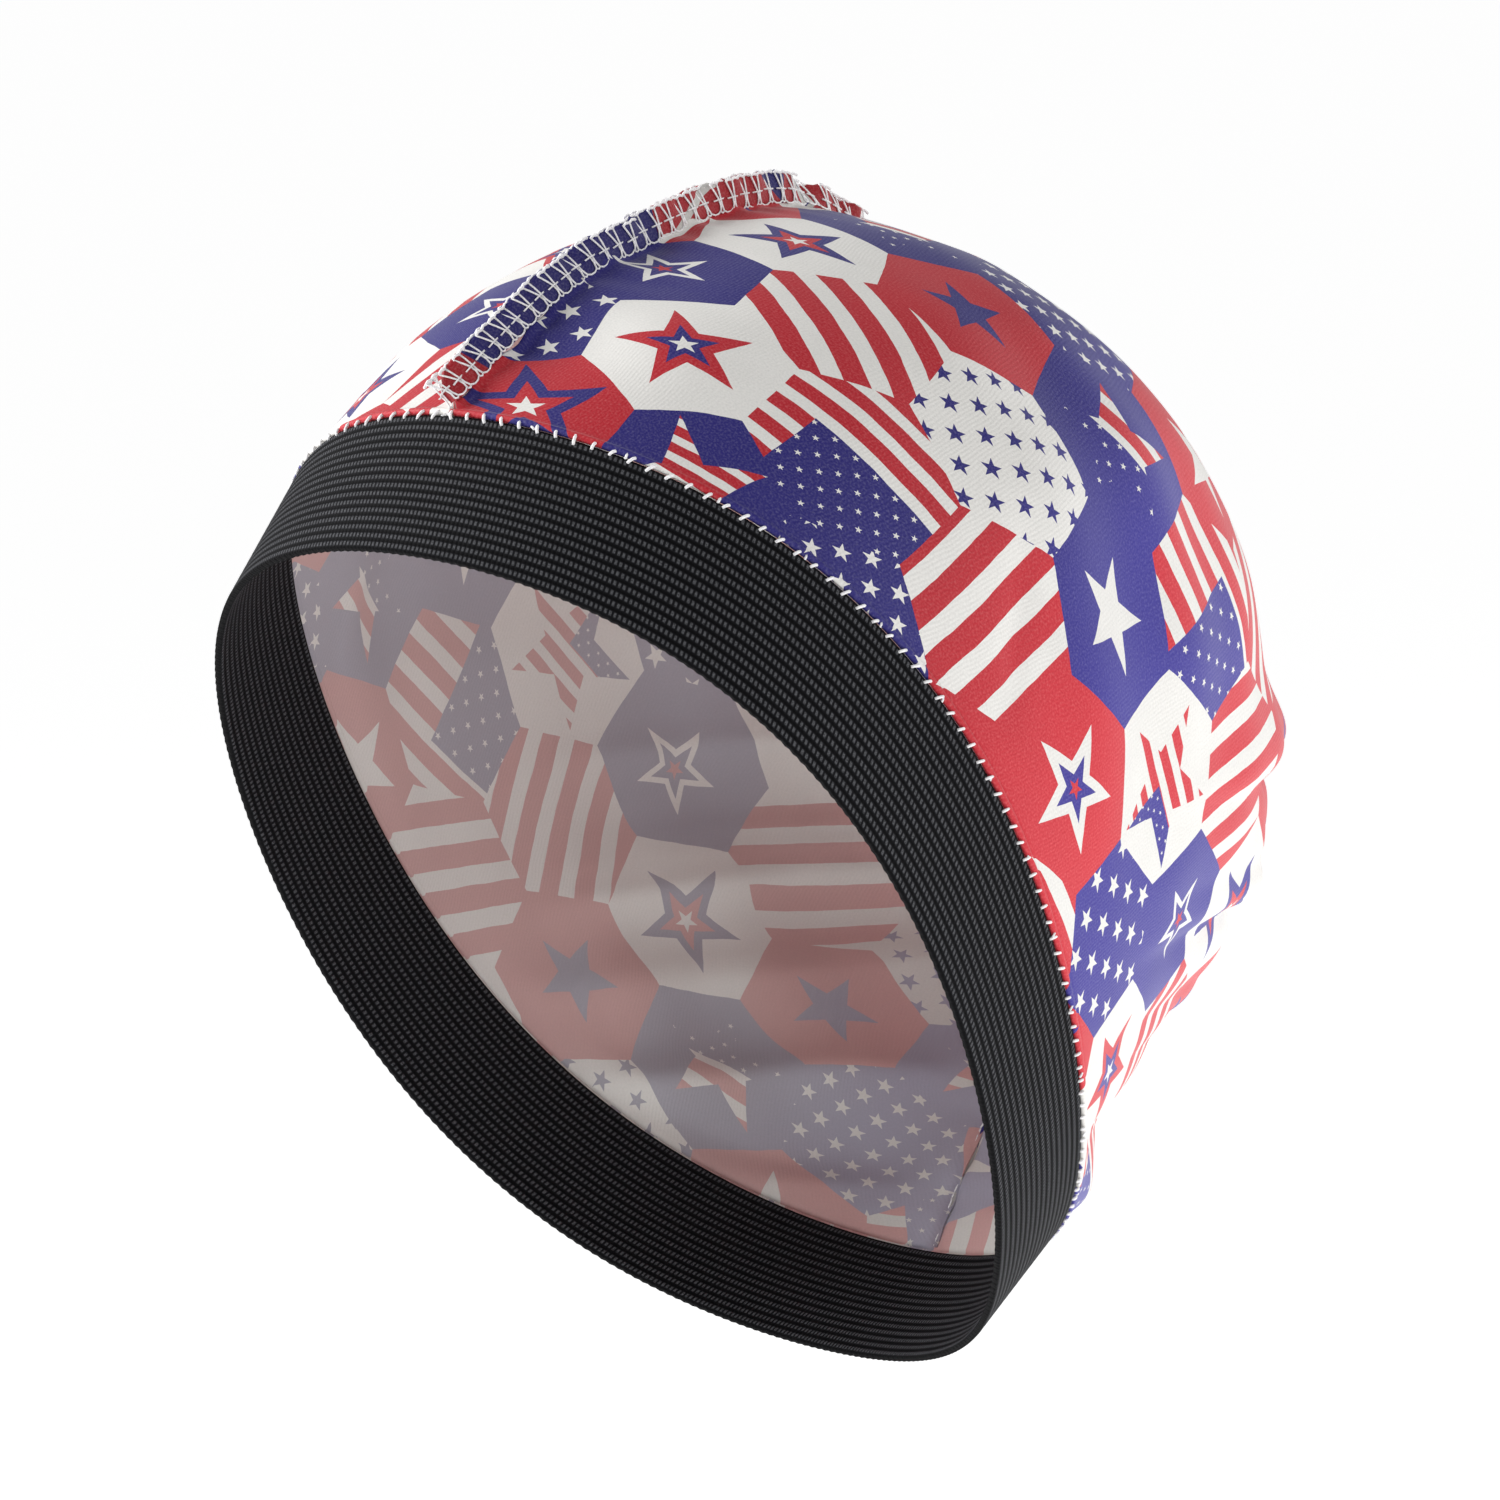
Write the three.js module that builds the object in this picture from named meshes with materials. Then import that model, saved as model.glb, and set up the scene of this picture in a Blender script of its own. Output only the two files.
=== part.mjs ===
// Stretch liner cap, worn under a hard helmet.
//
// Two printed knit panels meet in one seam over the top of the head, from the forehead to the
// nape. The serged allowance of that seam stands up outside as a low fin. The lower edge of both
// panels is sewn to a loop of ribbed elastic. The cap has the form that a head gives it.
//
// Millimetres, +Z up. The wearer's left is +X and the wearer faces -Y. The origin is the highest
// point of the hollow, where the top of the head carries the cap.
//
// The pieces are shaped upright on their own rim, with the dome's axis along +Z, and the whole
// cap is then tipped back. "Round" is an angle about the dome's axis: 0 at the forehead, 90 over
// the wearer's left ear, 180 at the nape. "Rise" is an angle from 0 at the band to 90 at the pole.

import * as THREE from 'three';

const { clamp, degToRad, lerp, smoothstep } = THREE.MathUtils;

// How far the plane of the rim tips back, so that it runs from the forehead down to the nape.
const RIM_TILT = degToRad(51);

// The elastic loop, along its lower edge.
const BAND_WIDTH = 30;
const BAND_THICKNESS = 1.5;
const RIM_HALF_LENGTH = 110.8;
const RIM_HALF_WIDTH = 80;
const RIM_FRONT_FULLNESS = 0.11;
const RIM_EAR_SWAY = 3.45;
const RIM_SIDE_DIP = 1.41;
const BAND_FLARE = { front: degToRad(8.8), side: degToRad(1.9), back: degToRad(6.7) };

// Sections of the crown, parallel to the rim, one for every 15 degrees of rise. The centre is
// measured ahead of the rim's centre.
const SECTION_STEP = 15;
const CROWN_SECTIONS = [
  { height: 29, centre: 1, halfLength: 114.3, halfWidth: 81 },
  { height: 67.8, centre: 2, halfLength: 107.8, halfWidth: 83.3 },
  { height: 102.5, centre: -6.3, halfLength: 102.1, halfWidth: 80.3 },
  { height: 127.2, centre: -9.3, halfLength: 87.8, halfWidth: 69 },
  { height: 143.6, centre: -12.6, halfLength: 62, halfWidth: 49.4 },
  { height: 154.9, centre: -14, halfLength: 32.5, halfWidth: 25.8 },
  { height: 159.1, centre: -14.5, halfLength: 0, halfWidth: 0 },
];
const CROWN_THICKNESS = 1;
const JOIN_RISE = 14;

// Slack cloth behind the crown, level folds that run out from the back seam towards the ears.
// Each swells out above a tuck: level is the tuck's height under the origin, and reach is the
// round angle where the fold has died out.
const LEFT_FOLDS = [
  { level: -202, swell: 24, proud: 4.5, reach: 112 },
  { level: -178, swell: 17, proud: 1.8, reach: 118 },
  { level: -161, swell: 21, proud: 2.2, reach: 114 },
  { level: -140, swell: 28, proud: 3.4, reach: 108 },
  { level: -112, swell: 27, proud: 4, reach: 96 },
  { level: -85, swell: 24, proud: 1.6, reach: 104 },
];
const RIGHT_FOLDS = [
  { level: -204, swell: 24, proud: 3.5, reach: 116 },
  { level: -180, swell: 19, proud: 1.8, reach: 120 },
  { level: -161, swell: 24, proud: 2.8, reach: 112 },
  { level: -137, swell: 27, proud: 3.6, reach: 102 },
  { level: -110, swell: 25, proud: 3, reach: 106 },
  { level: -85, swell: 22, proud: 1.4, reach: 112 },
];
const FOLD_SEAM_PINCH = 16;
const FOLD_BAND_RISE = 4;

// The fin of serged seam allowance. It stands up from the forehead to the top of the head, where
// it falls over onto the right panel. Both ends of the fall are fin stations, in degrees.
const FIN_HEIGHT = 5.3;
const FIN_FOOT_WIDTH = 2.4;
const FIN_EDGE_WIDTH = 1.8;
const FIN_FALL_START = 41;
const FIN_FALL_END = 54;
const FIN_FALLEN_LEAN = degToRad(68);

// Pieces that are sewn together stay this far apart.
const SEWN_GAP = 0.3;

// Facets.
const PANEL_COLUMNS = 24;
const PANEL_ROWS = 40;
const BAND_COLUMNS = 72;
const FIN_STATIONS = 72;
const PROBE = 0.25;

const INK_BLUE = 0x3d3a92;
const THREAD_VIOLET = 0x6c5f95;
const ELASTIC_BLACK = 0x17181b;

/** A point from its distances to the left, ahead and up the dome's axis. */
function capPoint(left, ahead, height) {
  return new THREE.Vector3(left, -ahead, height);
}

/** How far the rim stands above its mean plane at a round angle in radians. */
function rimLift(round) {
  const sway = RIM_EAR_SWAY * (Math.cos(round) - Math.cos(3 * round));
  const dip = RIM_SIDE_DIP * (Math.cos(2 * round) - 1);
  return sway + dip;
}

/** The lower outer edge of the band, with the directions up its wall and out of it. */
function bandFoot(roundDegrees) {
  const round = degToRad(roundDegrees);
  const cosine = Math.cos(round);
  const sine = Math.sin(round);
  const fullness = 1 + RIM_FRONT_FULLNESS * cosine;
  const foot = capPoint(RIM_HALF_WIDTH * sine * fullness, RIM_HALF_LENGTH * cosine, rimLift(round));
  const level = new THREE.Vector3(foot.x / RIM_HALF_WIDTH ** 2, foot.y / RIM_HALF_LENGTH ** 2, 0);
  level.normalize();
  const endFlare = cosine > 0 ? BAND_FLARE.front : BAND_FLARE.back;
  const flare = lerp(BAND_FLARE.side, endFlare, cosine ** 2);
  const axis = new THREE.Vector3(0, 0, 1);
  const up = axis.clone().multiplyScalar(Math.cos(flare)).addScaledVector(level, Math.sin(flare));
  const out = level.clone().multiplyScalar(Math.cos(flare)).addScaledVector(axis, -Math.sin(flare));
  return { foot, up, out };
}

/** A point in the band's wall, at a height up the wall and a depth into it. */
function bandPoint(roundDegrees, upWall, depth) {
  const { foot, up, out } = bandFoot(roundDegrees);
  return foot.addScaledVector(up, upWall).addScaledVector(out, -depth);
}

/** A smooth value between four evenly spaced ones, at a share of the way from b to c. */
function catmullRom(a, b, c, d, share) {
  const straight = (c - a) * share;
  const square = (2 * a - 5 * b + 4 * c - d) * share ** 2;
  const cube = (3 * b - a - 3 * c + d) * share ** 3;
  return b + 0.5 * (straight + square + cube);
}

/** The crown's section at a rise, smooth over the pole because the sections mirror past it. */
function crownSection(rise) {
  const last = CROWN_SECTIONS.length - 1;
  const step = Math.min(Math.floor(rise / SECTION_STEP), last - 1);
  const share = rise / SECTION_STEP - step;
  const section = {};
  for (const column of ['height', 'centre', 'halfLength', 'halfWidth']) {
    const value = (row) => CROWN_SECTIONS[row][column];
    const below = step > 0 ? value(step - 1) : 2 * value(0) - value(1);
    const mirror = column.startsWith('half') ? -1 : 1;
    const above = step + 2 > last ? mirror * value(last - 1) : value(step + 2);
    section[column] = catmullRom(below, value(step), value(step + 1), above, share);
  }
  return section;
}

/** The crown's sections alone, before it is brought to the band. */
function domePoint(roundDegrees, rise) {
  const round = degToRad(roundDegrees);
  const lean = Math.cos(degToRad(rise));
  const { height, centre, halfLength, halfWidth } = crownSection(rise);
  const fullness = 1 + RIM_FRONT_FULLNESS * lean * Math.cos(round);
  return capPoint(
    halfWidth * Math.sin(round) * fullness,
    centre + halfLength * Math.cos(round),
    height + rimLift(round) * lean ** 2,
  );
}

/** The crown's outer surface without its folds, its edge a sewn gap above the band. */
function smoothCrown(roundDegrees, rise) {
  const point = domePoint(roundDegrees, rise);
  const share = Math.max(0, 1 - rise / JOIN_RISE) ** 2;
  const edge = bandPoint(roundDegrees, BAND_WIDTH + SEWN_GAP, 0);
  return point.addScaledVector(edge.sub(domePoint(roundDegrees, 0)), share);
}

/** The outward direction of a surface of round and rise. */
function outward(surface, roundDegrees, rise) {
  const near = clamp(rise, PROBE, 90 - 2 * PROBE);
  const around = surface(roundDegrees + PROBE, near).sub(surface(roundDegrees - PROBE, near));
  const upward = surface(roundDegrees, near + PROBE).sub(surface(roundDegrees, near - PROBE));
  return around.cross(upward).normalize();
}

/** The height of a point when the cap is worn, still measured from the rim's centre. */
function wornHeight(point) {
  return point.z * Math.cos(RIM_TILT) - point.y * Math.sin(RIM_TILT);
}

/** The top of the hollow, in the cap's own upright frame. */
function findSeat() {
  let seat = null;
  for (let rise = 0; rise <= 90; rise += PROBE) {
    const inner = smoothCrown(0, rise).addScaledVector(outward(smoothCrown, 0, rise), -CROWN_THICKNESS);
    if (!seat || wornHeight(inner) > wornHeight(seat)) seat = inner;
  }
  return seat;
}

const seat = findSeat();

/** How far the folds of one panel push its cloth out. */
function foldSwell(folds, roundDegrees, rise) {
  const away = Math.abs(roundDegrees);
  const level = wornHeight(smoothCrown(roundDegrees, rise)) - wornHeight(seat);
  const pinched = smoothstep(180 - away, 0, FOLD_SEAM_PINCH) * smoothstep(rise, 0, FOLD_BAND_RISE);
  let push = 0;
  for (const fold of folds) {
    const share = clamp((level - fold.level) / fold.swell, 0, 1);
    const bulge = 0.5 - 0.5 * Math.cos(2 * Math.PI * share ** 0.6);
    push += fold.proud * bulge * smoothstep(away, fold.reach, fold.reach + 30);
  }
  return push * pinched;
}

/** The outer surface of one panel, with its folds. */
function panelSurface(folds) {
  return (roundDegrees, rise) => {
    const push = foldSwell(folds, roundDegrees, rise);
    const point = smoothCrown(roundDegrees, rise);
    return point.addScaledVector(outward(smoothCrown, roundDegrees, rise), push);
  };
}

/** A mesh geometry from a list of points and a list of triangles. */
function geometryOf(points, triangles) {
  const geometry = new THREE.BufferGeometry();
  geometry.setFromPoints(points);
  geometry.setIndex(triangles.flat());
  geometry.computeVertexNormals();
  return geometry;
}

/** Two triangles on the four corners of a face, anticlockwise as seen from outside. */
function quad(a, b, c, d) {
  return [[a, b, c], [a, c, d]];
}

/** A panel's wall: columns run from the front seam to the back one, rows from band to pole. */
function panelGeometry(folds, side) {
  const surface = panelSurface(folds);
  const points = [];
  const wallPoint = (column, row, depth) => {
    const round = side * 180 * column / PANEL_COLUMNS;
    const rise = 90 * row / PANEL_ROWS;
    const out = row === 0 ? bandFoot(round).out : outward(surface, round, rise);
    const point = surface(round, rise).addScaledVector(out, -depth);
    point.x += side * SEWN_GAP / 2;
    return point;
  };
  const skin = (depth) => {
    const rows = [];
    for (let row = 0; row < PANEL_ROWS; row += 1) {
      const indices = [];
      for (let column = 0; column <= PANEL_COLUMNS; column += 1) {
        indices.push(points.push(wallPoint(column, row, depth)) - 1);
      }
      rows.push(indices);
    }
    const pole = points.push(wallPoint(PANEL_COLUMNS / 2, PANEL_ROWS, depth)) - 1;
    rows.push(new Array(PANEL_COLUMNS + 1).fill(pole));
    return rows;
  };
  const cell = (rows, column, row) => {
    const low = [rows[row][column], rows[row][column + 1]];
    const high = [rows[row + 1][column + 1], rows[row + 1][column]];
    return [...low, ...high];
  };
  const outer = skin(0);
  const inner = skin(CROWN_THICKNESS);
  const triangles = [];
  for (let column = 0; column < PANEL_COLUMNS; column += 1) {
    for (let row = 0; row < PANEL_ROWS; row += 1) {
      triangles.push(...quad(...cell(outer, column, row)));
      triangles.push(...quad(...cell(inner, column, row).reverse()));
    }
    const next = column + 1;
    triangles.push(...quad(outer[0][next], outer[0][column], inner[0][column], inner[0][next]));
  }
  for (let row = 0; row < PANEL_ROWS; row += 1) {
    const above = row + 1;
    triangles.push(...quad(outer[row][0], outer[above][0], inner[above][0], inner[row][0]));
    const end = PANEL_COLUMNS;
    triangles.push(...quad(outer[above][end], outer[row][end], inner[row][end], inner[above][end]));
  }
  const facing = side > 0 ? triangles : triangles.map(([a, b, c]) => [a, c, b]);
  return geometryOf(points, facing.filter(([a, b, c]) => a !== b && b !== c && c !== a));
}

/** A closed bar through a row of rings that have the same number of corners. */
function barGeometry(rings, isLoop) {
  const corners = rings[0].length;
  const triangles = [];
  const last = isLoop ? rings.length : rings.length - 1;
  const index = (ring, corner) => (ring % rings.length) * corners + (corner % corners);
  for (let ring = 0; ring < last; ring += 1) {
    for (let corner = 0; corner < corners; corner += 1) {
      const next = corner + 1;
      const near = [index(ring, corner), index(ring, next)];
      const far = [index(ring + 1, next), index(ring + 1, corner)];
      triangles.push(...quad(...near, ...far));
    }
  }
  if (!isLoop) {
    for (let corner = 1; corner < corners - 1; corner += 1) {
      triangles.push([index(0, 0), index(0, corner + 1), index(0, corner)]);
      const end = rings.length - 1;
      triangles.push([index(end, 0), index(end, corner), index(end, corner + 1)]);
    }
  }
  return geometryOf(rings.flat(), triangles);
}

/** The elastic loop, a plain strap on its edge. */
function bandGeometry() {
  const rings = [];
  for (let column = 0; column < BAND_COLUMNS; column += 1) {
    const round = 360 * column / BAND_COLUMNS;
    rings.push([
      bandPoint(round, 0, 0),
      bandPoint(round, 0, BAND_THICKNESS),
      bandPoint(round, BAND_WIDTH, BAND_THICKNESS),
      bandPoint(round, BAND_WIDTH, 0),
    ]);
  }
  return barGeometry(rings, true);
}

/** The fin, from the band at the forehead over the pole to the band at the nape. */
function finGeometry() {
  const rings = [];
  for (let station = 0; station <= FIN_STATIONS; station += 1) {
    const along = 180 * station / FIN_STATIONS;
    const round = along <= 90 ? 0 : 180;
    const rise = along <= 90 ? along : 180 - along;
    const lean = FIN_FALLEN_LEAN * smoothstep(along, FIN_FALL_START, FIN_FALL_END);
    const out = outward(smoothCrown, round, rise);
    const left = new THREE.Vector3(1, 0, 0);
    const upFin = out.clone().multiplyScalar(Math.cos(lean)).addScaledVector(left, -Math.sin(lean));
    const acrossFin = left.multiplyScalar(Math.cos(lean)).addScaledVector(out, Math.sin(lean));
    const clearance = SEWN_GAP + FIN_FOOT_WIDTH / 2 * Math.sin(lean);
    const foot = smoothCrown(round, rise).addScaledVector(out, clearance);
    const edge = foot.clone().addScaledVector(upFin, FIN_HEIGHT - SEWN_GAP);
    const corner = (point, share) => point.clone().addScaledVector(acrossFin, share);
    rings.push([
      corner(foot, FIN_FOOT_WIDTH / 2),
      corner(foot, -FIN_FOOT_WIDTH / 2),
      corner(edge, -FIN_EDGE_WIDTH / 2),
      corner(edge, FIN_EDGE_WIDTH / 2),
    ]);
  }
  return barGeometry(rings, false);
}

/** A named piece with its own material. */
function piece(name, geometry, color, roughness) {
  const material = new THREE.MeshStandardMaterial({ color, roughness, metalness: 0 });
  const mesh = new THREE.Mesh(geometry, material);
  mesh.name = name;
  return mesh;
}

const cap = new THREE.Group();
cap.add(piece('crown_left', panelGeometry(LEFT_FOLDS, 1), INK_BLUE, 0.6));
cap.add(piece('crown_right', panelGeometry(RIGHT_FOLDS, -1), INK_BLUE, 0.6));
cap.add(piece('seam_fin', finGeometry(), THREAD_VIOLET, 0.8));
cap.add(piece('band', bandGeometry(), ELASTIC_BLACK, 0.85));
cap.rotation.x = -RIM_TILT;
cap.position.copy(seat).applyEuler(cap.rotation).negate();

const liner = new THREE.Group();
liner.add(cap);

export default liner;
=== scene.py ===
"""Helmet liner cap: two printed knit panels, their serged seam, and the ribbed elastic band."""
import logging
import math
from dataclasses import dataclass, field
from enum import Enum
from typing import Callable, NamedTuple, Optional, Sequence, Union

import bpy
import numpy as np
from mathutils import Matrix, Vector


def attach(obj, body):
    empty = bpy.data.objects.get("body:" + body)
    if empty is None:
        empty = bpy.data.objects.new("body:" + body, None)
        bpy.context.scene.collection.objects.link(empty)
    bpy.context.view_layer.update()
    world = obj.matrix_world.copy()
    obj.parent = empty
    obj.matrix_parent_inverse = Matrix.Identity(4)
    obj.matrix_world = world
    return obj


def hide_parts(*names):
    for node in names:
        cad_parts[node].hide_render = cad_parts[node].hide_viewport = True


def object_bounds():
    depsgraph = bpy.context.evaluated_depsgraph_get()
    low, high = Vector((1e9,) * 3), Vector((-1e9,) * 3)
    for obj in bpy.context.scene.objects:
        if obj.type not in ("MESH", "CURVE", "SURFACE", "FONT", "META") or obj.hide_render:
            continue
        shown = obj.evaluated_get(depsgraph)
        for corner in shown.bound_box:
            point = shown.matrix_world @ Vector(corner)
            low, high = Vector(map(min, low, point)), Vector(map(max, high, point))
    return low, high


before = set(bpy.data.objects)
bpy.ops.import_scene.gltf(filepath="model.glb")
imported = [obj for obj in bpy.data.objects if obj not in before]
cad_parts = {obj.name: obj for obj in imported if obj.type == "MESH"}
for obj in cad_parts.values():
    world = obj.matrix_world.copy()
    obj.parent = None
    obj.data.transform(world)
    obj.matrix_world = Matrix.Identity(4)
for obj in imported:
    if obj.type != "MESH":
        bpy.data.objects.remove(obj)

log = logging.getLogger("helmet_liner")

MM = 0.001
BODY = "root"
CAD_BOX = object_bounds()

Number = Union["Value", float, int]


# ---------------------------------------------------------------------------
# Small helpers for arrays of points
# ---------------------------------------------------------------------------


def unit(vectors: np.ndarray) -> np.ndarray:
    """Vectors brought to length one."""
    length = np.linalg.norm(vectors, axis=-1, keepdims=True)
    return vectors / np.maximum(length, 1e-12)


def smoothstep(value: np.ndarray, low: float, high: float) -> np.ndarray:
    """A soft step from 0 at low to 1 at high."""
    share = np.clip((value - low) / (high - low), 0.0, 1.0)
    return share * share * (3.0 - 2.0 * share)


def waves(place: np.ndarray, lengths: Sequence[float], seed: int) -> np.ndarray:
    """An uneven ripple: a sum of sines of the given wavelengths.

    Args:
        place: where the ripple is read, in the unit of the wavelengths.
        lengths: the wavelengths.
        seed: the seed of the sines' phases.

    Returns:
        The ripple, from about -1 to 1.
    """
    phases = np.random.default_rng(seed).uniform(0.0, 2.0 * math.pi, len(lengths))
    total = sum(np.sin(2.0 * math.pi * place / size + at) for size, at in zip(lengths, phases))
    return total / math.sqrt(len(lengths))


def put_in_scene(name: str, data: bpy.types.ID) -> bpy.types.Object:
    """An object of a mesh, lamp or camera, in the scene."""
    made = bpy.data.objects.new(name, data)
    bpy.context.scene.collection.objects.link(made)
    return made


# ---------------------------------------------------------------------------
# The cap's form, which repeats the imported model's
# ---------------------------------------------------------------------------


class Side(Enum):
    """A panel of the crown, by the wearer's side."""

    LEFT = 1
    RIGHT = -1


class Section(NamedTuple):
    """A level section of the crown, in metres."""

    height: float
    centre: float
    half_length: float
    half_width: float


class Fold(NamedTuple):
    """A fold across the back: its worn level, its height, how proud it is, and where it starts."""

    level: float
    swell: float
    proud: float
    reach: float


class Crease(NamedTuple):
    """A narrow tuck between folds: its worn level, half-width and depth, and where it starts."""

    level: float
    half_width: float
    depth: float
    reach: float


@dataclass(frozen=True)
class CapForm:
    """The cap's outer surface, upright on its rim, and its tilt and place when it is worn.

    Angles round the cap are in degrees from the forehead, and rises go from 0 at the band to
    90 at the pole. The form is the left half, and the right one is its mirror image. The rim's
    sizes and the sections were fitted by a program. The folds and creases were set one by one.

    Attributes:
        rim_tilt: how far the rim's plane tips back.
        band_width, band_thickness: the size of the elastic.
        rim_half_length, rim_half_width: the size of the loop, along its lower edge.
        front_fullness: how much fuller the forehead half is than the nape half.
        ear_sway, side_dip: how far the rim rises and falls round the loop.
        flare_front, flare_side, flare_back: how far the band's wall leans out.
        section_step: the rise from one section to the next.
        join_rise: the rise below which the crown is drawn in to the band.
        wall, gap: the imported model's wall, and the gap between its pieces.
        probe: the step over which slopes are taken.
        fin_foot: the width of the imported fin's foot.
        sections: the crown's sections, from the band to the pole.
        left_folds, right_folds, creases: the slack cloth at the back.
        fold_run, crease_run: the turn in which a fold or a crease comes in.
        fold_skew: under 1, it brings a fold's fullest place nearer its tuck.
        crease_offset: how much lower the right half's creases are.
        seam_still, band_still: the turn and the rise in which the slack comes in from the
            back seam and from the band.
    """

    rim_tilt: float = math.radians(51.0)
    band_width: float = 0.030
    band_thickness: float = 0.0015
    rim_half_length: float = 0.1108
    rim_half_width: float = 0.080
    front_fullness: float = 0.11
    ear_sway: float = 0.00345
    side_dip: float = 0.00141
    flare_front: float = math.radians(8.8)
    flare_side: float = math.radians(1.9)
    flare_back: float = math.radians(6.7)
    section_step: float = 15.0
    join_rise: float = 14.0
    wall: float = 0.001
    gap: float = 0.0003
    probe: float = 0.25
    fin_foot: float = 0.0024
    sections: tuple[Section, ...] = (
        Section(0.0290, 0.0010, 0.1143, 0.0810),
        Section(0.0678, 0.0020, 0.1078, 0.0833),
        Section(0.1025, -0.0063, 0.1021, 0.0803),
        Section(0.1272, -0.0093, 0.0878, 0.0690),
        Section(0.1436, -0.0126, 0.0620, 0.0494),
        Section(0.1549, -0.0140, 0.0325, 0.0258),
        Section(0.1591, -0.0145, 0.0000, 0.0000),
    )
    left_folds: tuple[Fold, ...] = (
        Fold(-0.202, 0.024, 0.0045, 112.0),
        Fold(-0.178, 0.017, 0.0018, 118.0),
        Fold(-0.161, 0.021, 0.0022, 114.0),
        Fold(-0.140, 0.028, 0.0034, 108.0),
        Fold(-0.112, 0.027, 0.0040, 96.0),
        Fold(-0.085, 0.024, 0.0016, 104.0),
    )
    right_folds: tuple[Fold, ...] = (
        Fold(-0.204, 0.024, 0.0035, 116.0),
        Fold(-0.180, 0.019, 0.0018, 120.0),
        Fold(-0.161, 0.024, 0.0028, 112.0),
        Fold(-0.137, 0.027, 0.0036, 102.0),
        Fold(-0.110, 0.025, 0.0030, 106.0),
        Fold(-0.085, 0.022, 0.0014, 112.0),
    )
    creases: tuple[Crease, ...] = (
        Crease(-0.088, 0.0140, 0.0014, 70.0),
        Crease(-0.111, 0.0035, 0.0027, 98.0),
        Crease(-0.128, 0.0120, 0.0020, 100.0),
        Crease(-0.1285, 0.0026, 0.0010, 106.0),
        Crease(-0.139, 0.0035, 0.0031, 106.0),
        Crease(-0.154, 0.0060, 0.0028, 108.0),
        Crease(-0.1745, 0.0055, 0.0039, 112.0),
        Crease(-0.1955, 0.0040, 0.0032, 118.0),
    )
    fold_run: float = 30.0
    fold_skew: float = 0.6
    crease_run: float = 26.0
    crease_offset: float = 0.004
    seam_still: float = 16.0
    band_still: float = 4.0

    def rim_lift(self, turn: np.ndarray) -> np.ndarray:
        """How far the rim stands above its mean plane, at angles in radians."""
        sway = self.ear_sway * (np.cos(turn) - np.cos(3.0 * turn))
        return sway + self.side_dip * (np.cos(2.0 * turn) - 1.0)

    def band_frame(self, round_: np.ndarray) -> tuple[np.ndarray, np.ndarray, np.ndarray]:
        """The band's lower outer edge and its wall's directions.

        Args:
            round_: angles round the cap.

        Returns:
            The edge's points, the directions up the wall, and the directions out of it.
        """
        turn = np.radians(round_)
        cosine = np.cos(turn)
        fullness = 1.0 + self.front_fullness * cosine
        across = self.rim_half_width * np.sin(turn) * fullness
        foot = np.stack([across, -self.rim_half_length * cosine, self.rim_lift(turn)], -1)
        level = foot / np.array([self.rim_half_width**2, self.rim_half_length**2, 1.0])
        level[..., 2] = 0.0
        level = unit(level)
        end = np.where(cosine > 0.0, self.flare_front, self.flare_back)
        flare = (self.flare_side + (end - self.flare_side) * cosine**2)[..., None]
        axis = np.array([0.0, 0.0, 1.0])
        up = axis * np.cos(flare) + level * np.sin(flare)
        out = level * np.cos(flare) - axis * np.sin(flare)
        return foot, up, out

    def band_point(self, round_: np.ndarray, height: Number, depth: Number = 0.0) -> np.ndarray:
        """Points in the band's wall.

        Args:
            round_: angles round the cap.
            height: how far up the wall each is.
            depth: how far it is behind the wall's outer face.

        Returns:
            The points.
        """
        foot, up, out = self.band_frame(round_)
        rise = np.broadcast_to(height, round_.shape)[..., None]
        sink = np.broadcast_to(depth, round_.shape)[..., None]
        return foot + up * rise - out * sink

    def section(self, rise: np.ndarray) -> np.ndarray:
        """The crown's section, smooth through the table's rows and over the pole.

        Args:
            rise: the rises it is wanted at.

        Returns:
            A row of a section's four numbers for each rise.
        """
        table = np.array(self.sections)
        below = 2.0 * table[0] - table[1]
        above = table[-2] * np.array([1.0, 1.0, -1.0, -1.0])
        rows = np.vstack([below, table, above])
        at = np.clip(rise / self.section_step, 0.0, len(table) - 1 - 1e-9)
        step = np.floor(at).astype(int)
        share = (at - step)[..., None]
        a, b, c, d = (rows[step + shift] for shift in range(4))
        square = (2.0 * a - 5.0 * b + 4.0 * c - d) * share**2
        cube = (3.0 * b - a - 3.0 * c + d) * share**3
        return b + 0.5 * ((c - a) * share + square + cube)

    def dome(self, round_: np.ndarray, rise: np.ndarray) -> np.ndarray:
        """The crown's sections alone, before it is brought to the band.

        Args:
            round_: angles round the cap.
            rise: the rises up it.

        Returns:
            The points.
        """
        turn = np.radians(round_)
        lean = np.cos(np.radians(rise))
        height, centre, half_length, half_width = np.moveaxis(self.section(rise), -1, 0)
        fullness = 1.0 + self.front_fullness * lean * np.cos(turn)
        across = half_width * np.sin(turn) * fullness
        ahead = centre + half_length * np.cos(turn)
        return np.stack([across, -ahead, height + self.rim_lift(turn) * lean**2], -1)

    def smooth(self, round_: np.ndarray, rise: np.ndarray) -> np.ndarray:
        """The crown's outer surface without its folds.

        Args:
            round_: angles round the cap.
            rise: the rises up it.

        Returns:
            The points.
        """
        round_, rise = np.broadcast_arrays(round_, rise)
        share = np.maximum(0.0, 1.0 - rise / self.join_rise)[..., None] ** 2
        edge = self.band_point(round_, self.band_width + self.gap)
        return self.dome(round_, rise) + (edge - self.dome(round_, np.zeros_like(rise))) * share

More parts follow.
